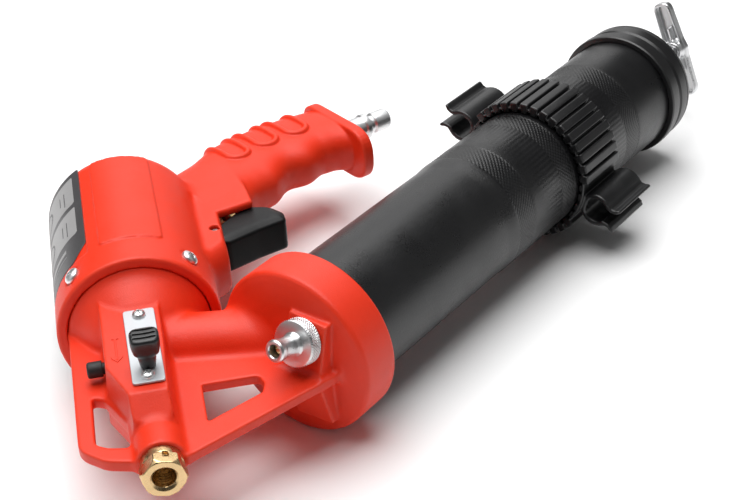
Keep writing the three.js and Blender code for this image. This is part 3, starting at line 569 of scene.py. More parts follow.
STRUT = [
    (88.2, 9.3), motor_point(-24, -24.6), motor_point(-13, -24.6), motor_point(-13, 18),
    (30, 30), (8, 20), (8, 0), (84, 0),
]
STRUT_HOLE = rounded_profile(
    [
        (-70.6, -1.8, 1), (-46.3, -7.3, 1.5), (-41.6, -4.4, 2), (-39.2, 0.4, 2.5),
        (-55.2, 14.8, 1),
    ],
    6,
)
FEED = [(13.5, -1.5, 0), (*motor_point(-15.5, 13.3), 0)]
FEED_BORE = [(11.6, 0, 0), (*motor_point(-12, 13.6), 0)]
CAP = [
    (-23.2, 0), (-23.1, 5), (-22.9, 9), (-21.9, 18), (-21.1, 23.5), (-20.1, 28), (-19.1, 32),
    (-18.3, 34.2), (-17.5, 35.1), (-16.6, 35.46), (-0.8, 35.46), (0, 34.6), (0, 0),
]
SIDE_PLUG = (34.5, -10.4, 8)
BARREL_BORE = [(2, 0), (2, 28.3), (-10, 28.3), (-10, 26.2), (-13.5, 25.6), (-15, 0)]
WEDGE_LEAN = math.radians(16.5)
WEDGE_FOOT = -29.8  # x of the wedge's front face in the gun's middle plane
WEDGE_Y = -12.2
WEDGE_TOP = 23.2
WEDGE_HALF = 8.9
LOOP_HALF = 2.5
OUTLET_BOSS_R = 9.4
PLUNGER_R = 3.75
SLOPE = math.atan2(8.8, 10.2)  # the block's front falls away to the boss


def head_field(p):
    m = in_motor(p)
    a, t, z = m.T
    deck = local(p, DECK_AT, DECK_AXES)
    d = turned(m, DOME)
    rise = np.clip((z + 9) / 29, 0, 1)
    wall = (1 - rise) * polygon(a, t, BLOCK_FOOT) + rise * polygon(a, t, BLOCK_TOP)
    slope = (a - 62.4) * math.sin(SLOPE) + (z - 18) * math.cos(SLOPE)
    block = common(wall, common(deck[:, 2], slope, 0.4), 0.8)
    d = union(d, common(block, -9 - z), 1.0)
    d = union(d, rod(m, OUTLET_BOSS_R, -2, 86.5, 0.9), 1.8)
    d = union(d, slab(polygon(a, t, LOOP), z, -LOOP_HALF, LOOP_HALF, 0.8), 2.0)
    cap = turned(p, CAP)
    x, y, height = p[:, 0], p[:, 1], np.abs(p[:, 2])
    lean = height * math.sin(WEDGE_LEAN) - (x - WEDGE_FOOT) * math.cos(WEDGE_LEAN)
    top = height - WEDGE_TOP - 0.07 * (y - WEDGE_Y)
    wedge = common(common(lean, top, 0.5), np.abs(y - WEDGE_Y) - WEDGE_HALF, 0.6)
    cap = union(cap, common(wedge, x + 16), 1.0)
    strut = slab(polygon(a, t, STRUT), z, -1.8, LOOP_HALF, 0.8)
    strut = carve(strut, polygon(x, y, STRUT_HOLE), 1.0)
    feed = union(bar(m, *FEED, 12.7), cap, 4.0)
    d = union(d, union(strut, feed, 3.0), 2.6)
    d = carve(d, slab(polygon(a, t, LOOP_HOLE), z, -9, 9), 1.2)
    d = carve(d, turned(p, BARREL_BORE), 0.5)
    # Bleeder's spot face and bore, the pump's bores, the dome's hollow and the feed bore.
    out = local(p, BLEEDER_AT, BLEEDER_AXES)
    d = carve(d, rod(out, 9.9, 0, 14), 0.3)
    d = carve(d, rod(out, 3.3, -18, 2), 0.2)
    d = carve(d, rod(m, PLUNGER_R, -20, 71))
    d = carve(d, rod(m, 6.2, 70, 90))
    d = carve(d, rod(m, 7.4, 83.3, 90), 0.5)
    d = carve(d, rod(m, 21, -14, -6))
    d = carve(d, bar(m, *FEED_BORE, 4.5))
    slot = slab(oblong(deck[:, 0], deck[:, 1], 25, 42.4, 3.4, 0.6), deck[:, 2], -11.5, 5)
    d = carve(d, slot, 0.4)
    plug = np.hypot(a - SIDE_PLUG[0], z - SIDE_PLUG[2]) - 2.6
    return carve(d, slab(plug, t, -19, -9))


cast("pump_head_casting", head_field, 0.62, coral_head, "pump_head")

# ---- motor housing and grip ------------------------------------------------------------
GRIP_END = 98
CASING = [
    (0.5, 0), (0.5, 29), (0.35, 32.3), (-0.1, 32.9), (-1, 33.2), (-84, 33.2), (-86.5, 32.8),
    (-88.8, 31.9), (-90.8, 30.6), (-92.3, 28.8), (-93.4, 26.5), (-94, 23), (-94.4, 18),
    (-94.6, 0),
]
CASING_R = 33.2
PANEL_R = 33.85
CYLINDER = [(2, 0), (2, 29), (-12.6, 29), (-12.6, 26.4), (-86, 26.4), (-86, 0)]
SCREWS = [45, 135, 225, 315]
SCREW_X = -9.6
# Rows are the place along the grip, the finger side, the back and half the width.
GRIP_STATIONS = np.array(
    [
        (14, 92, 137.5, 13.2), (26, 95, 140.8, 13.2), (33, 98.5, 144.2, 13.1),
        (38, 101.5, 147.4, 13.0), (44, 102.5, 149.6, 12.8), (51, 105.2, 150.6, 12.5),
        (59, 108.2, 151.4, 12.4), (66, 110.3, 151.8, 12.4), (75, 110.0, 151.6, 12.4),
        (83, 111.0, 150.6, 12.4), (91, 112.0, 149.0, 12.4), (98, 106.5, 148.0, 12.4),
    ]
)
GRIP_SPAN = np.arange(8, 106, 0.5)


def eased(column, spread=2.2):
    """A station column as a smooth curve along the grip."""
    raw = np.interp(GRIP_SPAN, GRIP_STATIONS[:, 0], GRIP_STATIONS[:, column])
    offsets = np.arange(-12, 13) * 0.5
    weight = np.exp(-((offsets / spread) ** 2))
    return np.convolve(np.pad(raw, 12, "edge"), weight / weight.sum(), "valid")


FINGER, BACK, HALF = (eased(c) for c in (1, 2, 3))
FINGER_PITCH = 22.5
BULGES = 1.3 * np.cos((GRIP_SPAN - 50) * 2 * math.pi / FINGER_PITCH)
FINGER -= BULGES * np.clip((GRIP_SPAN - 42) / 8, 0, 1) * np.clip((92 - GRIP_SPAN) / 8, 0, 1)
RIBS = [(44.6, 121.2), (61.8, 123.2), (79.0, 123.2)]  # place along the grip and lowest point
RIB_HALF = 5.5
RIB_R = 1.5
ROUND = 2.7  # power of the grip's super-ellipse
FLANGE_FACE = 102.8
FLANGE = rounded_profile(
    [(-12.9, 99, 12.2), (12.9, 99, 12.2), (12.9, 149, 9), (-12.9, 149, 9)], 8
)
CHEEK = rounded_profile(
    [
        (-6, 58.8), (12.6, 58.8, 4), (33.4, 81.2, 0.6), (47.8, 75.2, 1), (58, 88.4),
        (66, 104), (60, 118.5, 6), (34, 116), (-8, 66),
    ],
    6,
)
BAY = rounded_profile(
    [(62, 55), (19, 65.2), (15.6, 72, 2), (16, 78, 3), (33, 92, 4), (53, 90, 3)], 6
)
CHEEK_HALF = 13.2
CHEEK_TIP = (13, 58.5)
CHEEK_TURN = math.atan2(81.2 - CHEEK_TIP[1], 33.4 - CHEEK_TIP[0])
CHEEK_EDGE = 30.5  # length of the edge beside the trigger
BAY_HALF = 9.3
TRIGGER_PIN = np.array(joints["trigger_pivot"]["pos_m"]) / MM - DATUM
VALVE_AXES = axes_from(joints["valve_slide"]["axis"])
VALVE_AT = np.array([45.6, 88, 0])
PLUG_Y = 127.6


def grip_skin(g, v, z):
    """Distance to the bare grip: a tube of super-ellipse sections."""
    finger = np.interp(g, GRIP_SPAN, FINGER)
    back = np.interp(g, GRIP_SPAN, BACK)
    half = np.interp(g, GRIP_SPAN, HALF)
    reach = (back - finger) / 2
    a = np.abs(v - (finger + back) / 2) / reach + 1e-6
    b = np.abs(z) / half + 1e-6
    s = (a**ROUND + b**ROUND) ** (1 / ROUND)
    slope = np.hypot((a / s) ** (ROUND - 1) / reach, (b / s) ** (ROUND - 1) / half)
    return (s - 1) / slope


def housing_field(p):
    m = in_motor(p)
    a, t, z = m.T
    casing = turned(m, CASING)
    panel = np.hypot(t, z) - PANEL_R
    rect = slab(np.abs(t - 1.4) - 12.7, a, -86, -16.2, 2.0)
    panel = common(common(panel, rect, 0.5), 20 - z)
    casing = union(casing, panel, 0.3)
    g, v, _ = in_grip(p).T
    skin = grip_skin(g, v, z)
    grip = common(common(skin, g - GRIP_END), 9 - g)
    flange = slab(polygon(z, v, FLANGE), g, GRIP_END - 1, FLANGE_FACE, 1.1)
    grip = union(grip, flange, 0.7)
    x, y = p[:, 0], p[:, 1]
    sunk = 2.4 * np.clip((y - 84) / 26, 0, 1)
    cheek = slab(polygon(x, y, CHEEK), np.abs(z) + sunk, -1, CHEEK_HALF, 2.0)
    # The front end is rounded over, from the top face to the parting plane.
    nose = np.hypot(np.minimum(y - 66.4, 0) * 1.75, z) - 13.25
    cheek = common(cheek, nose, 0.6)
    # A leaning cut along the edge beside the trigger, set back further underneath.
    dx, dy = x - CHEEK_TIP[0], y - CHEEK_TIP[1]
    n = dx * math.sin(CHEEK_TURN) - dy * math.cos(CHEEK_TURN)
    along = dx * math.cos(CHEEK_TURN) + dy * math.sin(CHEEK_TURN)
    for side, set_back in ((1, 4.2), (-1, 5.7)):
        tilt = math.atan2(set_back, 12.4)
        lean = n * math.cos(tilt) + (side * z - 7.6) * math.sin(tilt)
        cheek = carve(cheek, np.maximum(-lean, along - CHEEK_EDGE), 1.4)
    d = union(union(casing, grip, 5.0), cheek, 2.6)
    for at, floor in RIBS:
        line = np.hypot(v - np.maximum(v, floor + 1.2 + RIB_HALF), g - at) - RIB_HALF
        d = union(d, np.hypot(line, skin) - RIB_R, 0.35)
    d = carve(d, turned(m, CYLINDER), 0.3)
    d = carve(d, slab(polygon(x, y, BAY), z, -BAY_HALF, BAY_HALF), 0.6)
    d = carve(d, np.hypot(x - TRIGGER_PIN[0], y - TRIGGER_PIN[1]) - 2.3, 0.3)
    d = carve(d, rod(local(p, VALVE_AT, VALVE_AXES), 5.4, -2, 24))
    d = carve(d, rod(in_grip(p) - np.array([0, PLUG_Y, 0]), 6.3, 84, 110), 0.3)
    for angle in SCREWS:
        s, c = math.sin(math.radians(angle)), math.cos(math.radians(angle))
        # The screw's local z is the motor's z turned about its axis.
        out = z * c + t * s
        across = np.hypot(a - SCREW_X, t * c - z * s)
        d = carve(d, slab(across - 4.3, out, 32.6, 40), 0.5)
        d = carve(d, slab(across - 2.1, out, 26, 40))
    # Shallow bed for the label.
    label = common(np.maximum(-88.9 - a, a + 17.1), t + 16.1)
    bed = common(common(32.72 - np.hypot(t, z), label), np.abs(z) - 28.8)
    return carve(d, bed, 0.2)


cast("motor_and_grip_casting", housing_field, 0.72, coral, "motor_housing")

# ---- small shaped parts -----------------------------------------------------------------
def shaped(name, field, low, high, step, at, axes, material, node):
    """A field meshed in its own local frame, then put in place."""
    points, quads = surface(field, low, high, step)
    points = np.asarray(at) + points @ np.asarray(axes)
    make_object(name, points, quads, material, body_of[node], slot_of[node], (node,))


def turned_part(name, profile, at, axes, material, node, sides=128, wave=None, angle=35):
    """A lathe-turned piece. Edges steeper than angle stay crisp."""
    points, faces = lathe(profile, at, axes, sides, wave)
    piece = make_object(
        name, points, faces, material, body_of[node], slot_of[node], (node,)
    )
    sharpen(piece, angle)


def turned_axes(degrees):
    """The gun's axes turned about X."""
    c, s = math.cos(math.radians(degrees)), math.sin(math.radians(degrees))
    return np.array([[1, 0, 0], [0, c, s], [0, -s, c]])


def knurl(x, turn, start, end, starts, pitch, depth):
    """Diamond knurling between two stations, fading in at its ends."""
    fade = np.clip((x - start) / 0.8, 0, 1) * np.clip((end - x) / 0.8, 0, 1)
    u = starts * turn
    v = 2 * math.pi * x / pitch
    return -fade * depth * (2 - np.cos(u + v) - np.cos(u - v)) / 4


# Trigger.
TRIGGER = rounded_profile(
    [
        (22.8, 67.2, 1.5), (37, 63.4, 12), (50.2, 58.6, 2.4), (54, 63.5, 4), (53.6, 69.5, 4),
        (46.8, 80.1, 4), (33, 79, 3), (19.2, 78, 2), (17.6, 72, 2),
    ],
    6,
)
FINGER_SIDE = rounded_profile(
    [(0, 76), (22.8, 67.2), (37, 63.4, 12), (50.2, 58.6, 3), (54, 62.5, 4), (60, 100), (0, 100)], 6
)
TRIGGER_HALF = 8.8
BEVEL = math.radians(28)


def trigger_field(p):
    x, y, z = p.T
    side = polygon(x, y, TRIGGER)
    d = slab(side, z, -TRIGGER_HALF, TRIGGER_HALF, 0.8)
    front = polygon(x, y, FINGER_SIDE)
    bevel = front * math.sin(BEVEL) + (np.abs(z) - TRIGGER_HALF) * math.cos(BEVEL)
    d = common(d, bevel + 1.5, 0.8)
    return carve(d, np.hypot(x - TRIGGER_PIN[0], y - TRIGGER_PIN[1]) - 2, 0.3)


shaped(
    "trigger_moulding", trigger_field, (16.5, 56, -8.9), (56.2, 81, 8.9), 0.45, np.zeros(3),
    np.eye(3), black_trigger, "trigger",
)

# Valve bush behind the trigger.
turned_part(
    "valve_bush_turning",
    [(3.2, 2.1), (3.2, 4.7), (3.6, 5.1), (10.5, 5.1), (10.5, 2.1)],
    VALVE_AT, VALVE_AXES, brass, "valve_bush", 64,
)

# Selector plate, knob and raised arrow.
PLATE = rounded_profile([(5.6, -6.05, 1.5), (51, -6.05, 1.5), (51, 6.05, 1.5), (5.6, 6.05, 1.5)], 6)
PLATE_SCREWS = (9.6, 47.4)


def plate_field(p):
    x, y, z = p.T
    d = slab(polygon(x, y, PLATE), z, 0.25, 1.25, 0.2)
    slot = oblong(x, y, 25.6, 41.8, 2.2, 0.6)
    rear, front = PLATE_SCREWS
    holes = np.minimum(np.hypot(x - rear, y), np.hypot(x - front, y)) - 1.7
    return carve(d, np.minimum(slot, holes), 0.15)


shaped(
    "selector_plate_stamping", plate_field, (5.6, -6.1, 0.2), (51.1, 6.1, 1.3),
    (0.4, 0.4, 0.18), DECK_AT, DECK_AXES, satin_plate, "selector_plate",
)

LEVER = np.array([41.5, 0.6, 0.0])
KNOB = rounded_profile(
    [(-5.2, -5.5, 3.4), (4.6, -5.5, 3.4), (4.6, 5.5, 3.4), (-5.2, 5.5, 3.4)], 8
)


def knob_field(p):
    x, y, z = p.T
    side = polygon(x, y, KNOB)
    waist = side + 0.024 * np.clip(14 - z, 0, 9) ** 2
    d = slab(waist, z, 7.4, 15.6, 1.5)
    neck = np.hypot(x - 0.2, y) - (2.9 + 0.14 * np.clip(z - 1.7, 0, 5))
    d = union(d, slab(neck, z, 1.7, 9.5, 0.3), 1.2)
    for at in (-3.1, -0.6, 1.9):
        curve = x - at + 0.02 * y * y
        groove = slab(np.abs(curve) - 0.45, np.abs(y), -9, 4.2, 0.3)
        d = carve(d, slab(groove, z, 14.85, 18, 0), 0.3)
    return carve(d, slab(np.hypot(x, y) - 2.1, z, -1, 4.6), 0.2)


shaped(
    "selector_knob_moulding", knob_field, (-5.3, -5.6, 1.6), (4.7, 5.6, 15.7), 0.28,
    DECK_AT + LEVER @ DECK_AXES, DECK_AXES, black_plastic, "selector_knob",
)

ARROW_Y = -10.3
STROKE = 0.42


def arrow_field(p):
    x, y, z = p.T
    across = np.abs(y - ARROW_Y)
    shaft = np.maximum(np.abs(x - 27) - 6.5, across - STROKE)
    head = np.maximum(np.abs(x + across * 1.25 - 34.6) - 0.6, across - 2.3)
    tail = np.maximum(np.abs(x - 20.5) - STROKE, across - 1.5)
    return slab(np.minimum(np.minimum(shaft, head), tail), z, -0.4, 0.3, 0.18)


points, quads = surface(arrow_field, (19.5, -13, -0.45), (35.5, -7.5, 0.35), (0.22, 0.22, 0.15))
make_object(
    "raised_direction_arrow", DECK_AT + points @ DECK_AXES, quads, coral_head, "housing",
    "coral_cast",
)


# Pan-head screws with a cross recess.
def screw_field(head_r, head_h):
    """Field of a pan head: a plate under a sphere of radius dome, less a tapered cross."""
    rise = head_h * 0.62
    dome = (head_r**2 + rise**2) / (2 * rise)

    def field(p):
        x, y, z = p.T
        r = np.hypot(y, z)
        ball = np.hypot(x - (head_h - dome), r) - dome
        d = common(slab(r - head_r, x, -0.6, head_h + 1, 0.1), ball, 0.5)
        depth = head_h * 0.42
        arm = head_r * 0.52 * np.clip((x - depth + 1.2) / 1.6, 0.3, 1)
        wide = head_r * 0.1 + 0.06 * (x - depth)
        a = np.maximum(np.abs(y) - arm, np.abs(z) - wide)
        b = np.maximum(np.abs(z) - arm, np.abs(y) - wide)
        cross = np.maximum(union(a, b, 0.25), depth - x)
        return carve(d, cross, 0.12)

    return field


def screws(head_r, head_h, names, places):
    """The same head at each place, given as its seat, its outward axis and its turn."""
    step = head_r * 0.036
    points, quads = surface(
        screw_field(head_r, head_h), (-0.7, -head_r, -head_r), (head_h, head_r, head_r), step
    )
    for node, (at, out, turn) in zip(names, places):
        x_axis = np.array(out, float)
        side = np.cross([0.3, 0.5, 0.1], x_axis)
        side /= np.linalg.norm(side)
        third = np.cross(x_axis, side)
        c, s = math.cos(turn), math.sin(turn)
        axes = np.array([x_axis, c * side + s * third, c * third - s * side])
        make_object(
            node + "_head", np.array(at) + points @ axes, quads, zinc, "housing",
            slot_of[node], (node,),
        )


names, places = [], []
for name, angle in zip(("upper_right", "lower_right", "lower_left", "upper_left"), SCREWS):
    turn = math.radians(angle)
    out = np.array([0, math.sin(turn), math.cos(turn)]) @ MOTOR_AXES
    names.append("housing_screw_" + name)
    places.append((MOTOR_AT + SCREW_X * MOTOR_AXES[0] + 32.9 * out, out, angle * 0.7))
screws(3.6, 2.4, names, places)
screws(
    2.6, 1.9, ["selector_screw_rear", "selector_screw_front"],
    [(DECK_AT + np.array([x, 0, 1.5]) @ DECK_AXES, DECK_AXES[2], x) for x in PLATE_SCREWS],
)

# Side plug.
PLUG_AXES = np.array([-MOTOR_AXES[1], MOTOR_AXES[0], MOTOR_AXES[2]])
turned_part(
    "side_plug_moulding",
    rounded_profile(
        [(0, 0), (0, 2.3), (6.1, 2.3), (6.1, 3.15, 0.3), (12, 3.15, 1.3), (12, 0)], 6
    ),
    MOTOR_AT + np.array(SIDE_PLUG) @ MOTOR_AXES, PLUG_AXES, black_rubber, "side_plug", 72,
)

# Outlet fitting: a hexagon with a turned collar behind it and a threaded socket.
HEX = [math.radians(18 + 60 * k) for k in range(6)]
FLAT = 7.6  # half the width across flats
BACK_EDGE = 89.8
SOCKET_R = 4.2
PITCH = 1.35


def outlet_field(p):
    x, y, z = p.T
    r = np.hypot(y, z)
    flats = np.max([y * math.cos(a) + z * math.sin(a) for a in HEX], axis=0) - FLAT
    hexagon = slab(flats, x, BACK_EDGE, OUTLET_FACE, 0.25)
    cone = (r - 8.55) * math.cos(0.5) + (x - 94.2) * math.sin(0.5)
    back = (r - 8.5) * math.cos(0.6) - (x - 90.2) * math.sin(0.6)
    hexagon = common(hexagon, np.maximum(cone, back), 0.15)
    d = union(hexagon, slab(r - 7.9, x, 85.6, 89.9, 0.4), 0.2)
    d = union(d, slab(r - 5.8, x, 79, 86))
    thread = 0.14 * np.cos(2 * math.pi * x / PITCH - np.arctan2(z, y))
    deep = np.clip((94.4 - x) / 0.8, 0, 1)
    d = carve(d, slab(r - SOCKET_R - deep * thread, x, 86, 98), 0.1)
    d = carve(d, (r - 4.1) * math.cos(0.84) - (x - 94.6) * math.sin(0.84), 0.15)
    # A small notch at the back of the upper flat.
    top = HEX[1]
    up = y * math.cos(top) + z * math.sin(top)
    across = -y * math.sin(top) + z * math.cos(top)
    slot = box(np.stack([x, across, up], 1), (89.7, -1.1, 6.2), (92.2, 0.9, 9))
    d = carve(d, slot, 0.15)
    return carve(d, slab(r - 2.2, x, 70, 98))


shaped(
    "outlet_nut_and_check_valve_seat", outlet_field, (79, -8.9, -8.9), (95.8, 8.9, 8.9), 0.3,
    MOTOR_AT, MOTOR_AXES, brass, "outlet_fitting",
)

# Air inlet plug, from the flange's face.
P = FLANGE_FACE
turned_part(
    "air_inlet_plug_turning",
    rounded_profile(
        [
            (88, 3), (88, 5.9), (P + 0.3, 5.9), (P + 0.3, 6.8, 0.4), (P + 3.6, 6.8, 0.5),
            (P + 4.8, 5.7, 0.3), (P + 13.4, 5.7, 0.3), (P + 14.2, 6.3, 0.4), (P + 16.4, 6.3, 0.5),
            (P + 17.6, 4.2, 0.8), (P + 19.4, 4.2, 0.8), (P + 20.4, 5.2, 0.5), (P + 28.2, 5.2, 0.6),
            (P + 29.4, 4.2), (P + 29.4, 2.9), (P + 28.8, 2.6), (P, 2.6),
        ],
        5,
    ),
    GRIP_AT + PLUG_Y * GRIP_AXES[1], GRIP_AXES, zinc, "air_inlet_plug", 96,
)

# Bleeder.
rows = [(round(x, 3), 9.4) for x in np.arange(0.8, 5.41, 0.23)]
turned_part(
    "bleeder_body_turning",
    [(-6, 1.2), (-6, 2.95), (0.3, 2.95), (0.3, 8.9), *rows, (5.9, 8.9), (6, 8.6), (6.0, 5.4)]
    + rounded_profile(
        [
            (6.0, 4.9), (6.8, 4.3, 0.8), (8.0, 3.95, 1), (13.6, 3.75, 0.6), (14.5, 4.35, 0.5),
            (16.6, 4.4, 0.4), (17.2, 3.8, 0.2), (17.2, 2.8, 0.2), (16.7, 2.5), (9.6, 2.5),
            (9.0, 1.2),
        ],
        5,
    ),
    BLEEDER_AT, BLEEDER_AXES, zinc, "bleeder_body", 280,
    lambda x, turn: knurl(x, turn, 0.5, 5.7, 56, 1.2, 0.7) * (x < 5.8), 30,
)
turned_part(
    "bleeder_check_pin",
    rounded_profile(
        [(11, 0), (11, 0.9), (12.2, 2.1, 0.4), (14, 2.1, 0.6), (15, 0.8, 0.5), (15, 0)],
        4,
    ),
    BLEEDER_AT, BLEEDER_AXES, brass, "bleeder_pin", 48,
)

# ---- label film ------------------------------------------------------------------------
LABEL_R = 33.15
LABEL = rounded_profile(
    [(-88.8, -35, 1.5), (-17.3, -35, 1.5), (-17.3, 27, 3), (-25.5, 35, 3), (-88.8, 35, 1.5)], 6
)


def on_casing(points):
    """From (along, around, out) on the unrolled casing to the motor's frame."""
    a, s, lift = points.T
    turn = s / CASING_R
    r = LABEL_R + lift
    return np.stack([a, -r * np.cos(turn), r * np.sin(turn)], 1)


def film(name, shape, low, high, material, bottom, top, node=None):
    """A thin printed patch that follows the casing."""
    points, quads = surface(
        lambda p: slab(shape(p[:, 0], p[:, 1]), p[:, 2], bottom, top, 0.03),
        (*low, bottom), (*high, top), (0.5, 0.5, 0.09),
    )
    points = MOTOR_AT + on_casing(points) @ MOTOR_AXES
    make_object(
        name, points, quads, material, "housing", "label_film", (node,) if node else ()
    )


label_dark = finish(
    "label_dark_grey_film", (0.055, 0.053, 0.055), 0.38, shade=0.08, grain=1200, bump=0.06,
    rough_swing=0.05,
)
label_light = finish(
    "label_light_grey_film", (0.31, 0.305, 0.305), 0.4, shade=0.04, grain=1200, bump=0.06,
    rough_swing=0.05,
)
film(
    "label_border", lambda a, s: polygon(a, s, LABEL), (-89, -35.2), (-17, 35.2), label_dark,
    -0.3, 0.0, "label_plate",
)


def rectangle(a, s, a0, a1, s0, s1, r):
    """Distance to a rectangle with corners rounded by r."""
    q = np.abs(a - (a0 + a1) / 2) - (a1 - a0) / 2 + r
    w = np.abs(s - (s0 + s1) / 2) - (s1 - s0) / 2 + r
    return np.minimum(np.maximum(q, w), 0) + np.hypot(np.maximum(q, 0), np.maximum(w, 0)) - r


for k, (a0, a1) in enumerate(((-85.5, -62.5), (-59.5, -37.5))):
    film(
        f"label_panel_{k}", lambda a, s: rectangle(a, s, a0, a1, -31.5, 31.5, 1.5),
        (a0, -31.6), (a1, 31.6), label_light, -0.02, 0.05,
    )


def annulus(a, s, big, small):
    r = np.hypot(a, s)
    return np.maximum(r - big, small - r)


# Centre along and around, then the outer and inner radius.
RINGS = [(-75, 8, 7.5, 5.9), (-49, 8, 7, 5.5), (-75, -17, 6, 4.8), (-49, -17, 6, 4.8)]
for k, (a_at, s_at, big, small) in enumerate(RINGS):
    film(
        f"label_ring_{k}", lambda a, s: annulus(a - a_at, s - s_at, big, small),
        (a_at - big, s_at - big), (a_at + big, s_at + big), label_dark, 0.03, 0.1,
    )
BARS = [
    (-78, -70, 22, 23.2, label_dark), (-78, -66, 25, 26.2, label_dark),
    (-53, -44, 22, 23.2, label_dark), (-53, -41, 25, 26.2, label_dark),
    (-33, -30, -20, 24, label_light), (-28, -26.8, -14, 24, label_light),
    (-24.6, -23.4, -14, 10, label_light),
]
for k, (a0, a1, s0, s1, look) in enumerate(BARS):
    base = 0.03 if look is label_dark else -0.02
    film(
        f"label_bar_{k}", lambda a, s: rectangle(a, s, a0, a1, s0, s1, 0.4), (a0, s0), (a1, s1),
        look, base, base + 0.07,
    )

# ---- barrel, end cap and collar ------------------------------------------------------------
TUBE_R = 28  # the front stretch
GRIP_R = 28.5  # the knurled stretch behind the step
TUBE_BORE = 26.8
BANDS = [(102, 116), (138, 150), (197, 211)]
STARTS = 84
KNURL_PITCH = 2.12
KNURL_DEPTH = 0.34
barrel = [(-9, TUBE_BORE), (-9, 27.8), (-8.8, TUBE_R), (92, TUBE_R), (93, TUBE_R)]
for t in np.linspace(0.07, 1, 15):
    barrel.append((93 + t * 9, TUBE_R + (GRIP_R - TUBE_R) * (3 * t * t - 2 * t**3)))
for start, end in BANDS:
    barrel += [(round(x, 3), GRIP_R) for x in np.arange(start + 0.3, end, 0.424)]
    barrel += [(end + 0.2, GRIP_R), (end + 2, GRIP_R)]
barrel += [(250.7, GRIP_R), (251, 28.2), (251, TUBE_BORE), (249, TUBE_BORE), (-7, TUBE_BORE)]

points, faces = lathe(barrel, np.zeros(3), np.eye(3), 420)
radius = np.hypot(points[:, 1], points[:, 2])
turn = np.arctan2(points[:, 2], points[:, 1])
relief = sum(
    knurl(points[:, 0], turn, a, b, STARTS, KNURL_PITCH, KNURL_DEPTH) for a, b in BANDS
)
knurled = radius + relief * (radius > GRIP_R - 0.1)
points[:, 1] *= knurled / radius
points[:, 2] *= knurled / radius
sharpen(
    make_object(
        "barrel_tube_coated", points, faces, black_coat, "barrel", "black_coat",
        ("barrel_tube",),
    ),
    40,
)

E = 240.5  # the end cap's front edge
turned_part(
    "end_cap_moulding",
    rounded_profile(
        [
            (E, 28.8), (E, 31.0, 0.5), (E + 1, 31.35, 0.5), (E + 6.6, 31.3, 0.7),
            (E + 7.6, 30.2, 0.6), (E + 9.2, 30.2, 0.6), (E + 10.0, 30.95, 0.6),
            (E + 15.6, 30.9, 0.2), (E + 15.8, 30.6), (E + 16.2, 30.6), (E + 16.4, 30.85, 0.2),
            (E + 18.6, 30.4, 1.5), (E + 21.5, 27.6, 1.6), (E + 21.5, 9, 1.5), (E + 25, 8, 0.8),
            (E + 25, 3.4), (E + 13, 3.4), (E + 13, 26), (E + 11, 26), (E + 11, 28.8),
        ],
        6,
    ),
    np.zeros(3), np.eye(3), black_plastic, "end_cap", 192, None, 30,
)

COLLAR_X = 152
COLLAR_TURN = 18
COLLAR_L = 30
COLLAR_R = 31.3
COLLAR_BORE = 28.85
RIB_PITCH = 9.4  # degrees
RIB_START = 24
CLIP_AT = 38.3  # the clip's centre, out from the barrel's axis


def arc(r, start, end, steps):
    turn = np.radians(np.linspace(start, end, steps + 1))
    return [(CLIP_AT + r * math.cos(a), r * math.sin(a)) for a in turn]


LIP = [
    (CLIP_AT + 6.6, 5.1), (CLIP_AT + 8.2, 5.2), (CLIP_AT + 9.4, 5.9), (CLIP_AT + 10.4, 6.3),
    (CLIP_AT + 11.2, 5.7), (CLIP_AT + 9.6, 4.0), (CLIP_AT + 8, 3.45), (CLIP_AT + 6.2, 3.4),
]
CLIP = (
    arc(7.9, 48, 312, 36)
    + [(x, -y) for x, y in LIP]
    + arc(5.8, 322, 38, 30)
    + LIP[::-1]
)


def collar_field(p):
    x, y, z = p.T
    r = np.hypot(y, z)
    around = np.degrees(np.arctan2(z, y))
    d = slab(r - COLLAR_R, x, 0.3, COLLAR_L, 0.4)
    half = around % 180
    rib = np.clip(np.round((half - RIB_START) / RIB_PITCH), 0, 14) * RIB_PITCH + RIB_START
    across = r * np.sin(np.radians(half - rib))
    ribs = box(np.stack([x, across, r], 1), (0, -2, 29.5), (COLLAR_L - 1.0, 2, 33.6), 0.4)
    d = union(d, ribs, 0.35)
    for side in (1, -1):
        clip = slab(polygon(side * y, side * z, CLIP), x, 2.4, 32.4, 0.35)
        root = box(np.stack([x, side * y, side * z], 1), (2.4, 28, -4.2), (30, 33.4, 4.2), 0.6)
        d = union(d, union(clip, root, 1.2), 1.0)
    d = carve(d, r - COLLAR_BORE, 0.3)
    # A notch in the front rim between each two ribs.
    slot = r * np.sin(np.radians((half - RIB_START) % RIB_PITCH - RIB_PITCH / 2))
    notch = np.maximum(np.abs(slot) - 0.9, r - 30.2)
    return carve(d, slab(notch, x, -2, 1.6), 0.2)


shaped(
    "clip_collar_moulding", collar_field, (-0.1, -49.6, -33.8), (32.5, 49.6, 33.8),
    (0.8, 0.42, 0.42), (COLLAR_X, 0, 0), turned_axes(COLLAR_TURN), black_plastic,
    "clip_collar",
)

# T-handle: a tray-shaped casting on the rod's end.
HANDLE_X = 306
HANDLE_TURN = 67
SPAN = 26  # half the handle's length
WING = rounded_profile(
    [
        (-SPAN, -4.9, 4.6), (-5, -5.7, 3), (0, -6.6, 3), (5, -5.7, 3), (SPAN, -4.9, 4.6),
        (SPAN, 4.9, 4.6), (5, 5.7, 3), (0, 6.6, 3), (-5, 5.7, 3), (-SPAN, 4.9, 4.6),
    ],
    8,
)


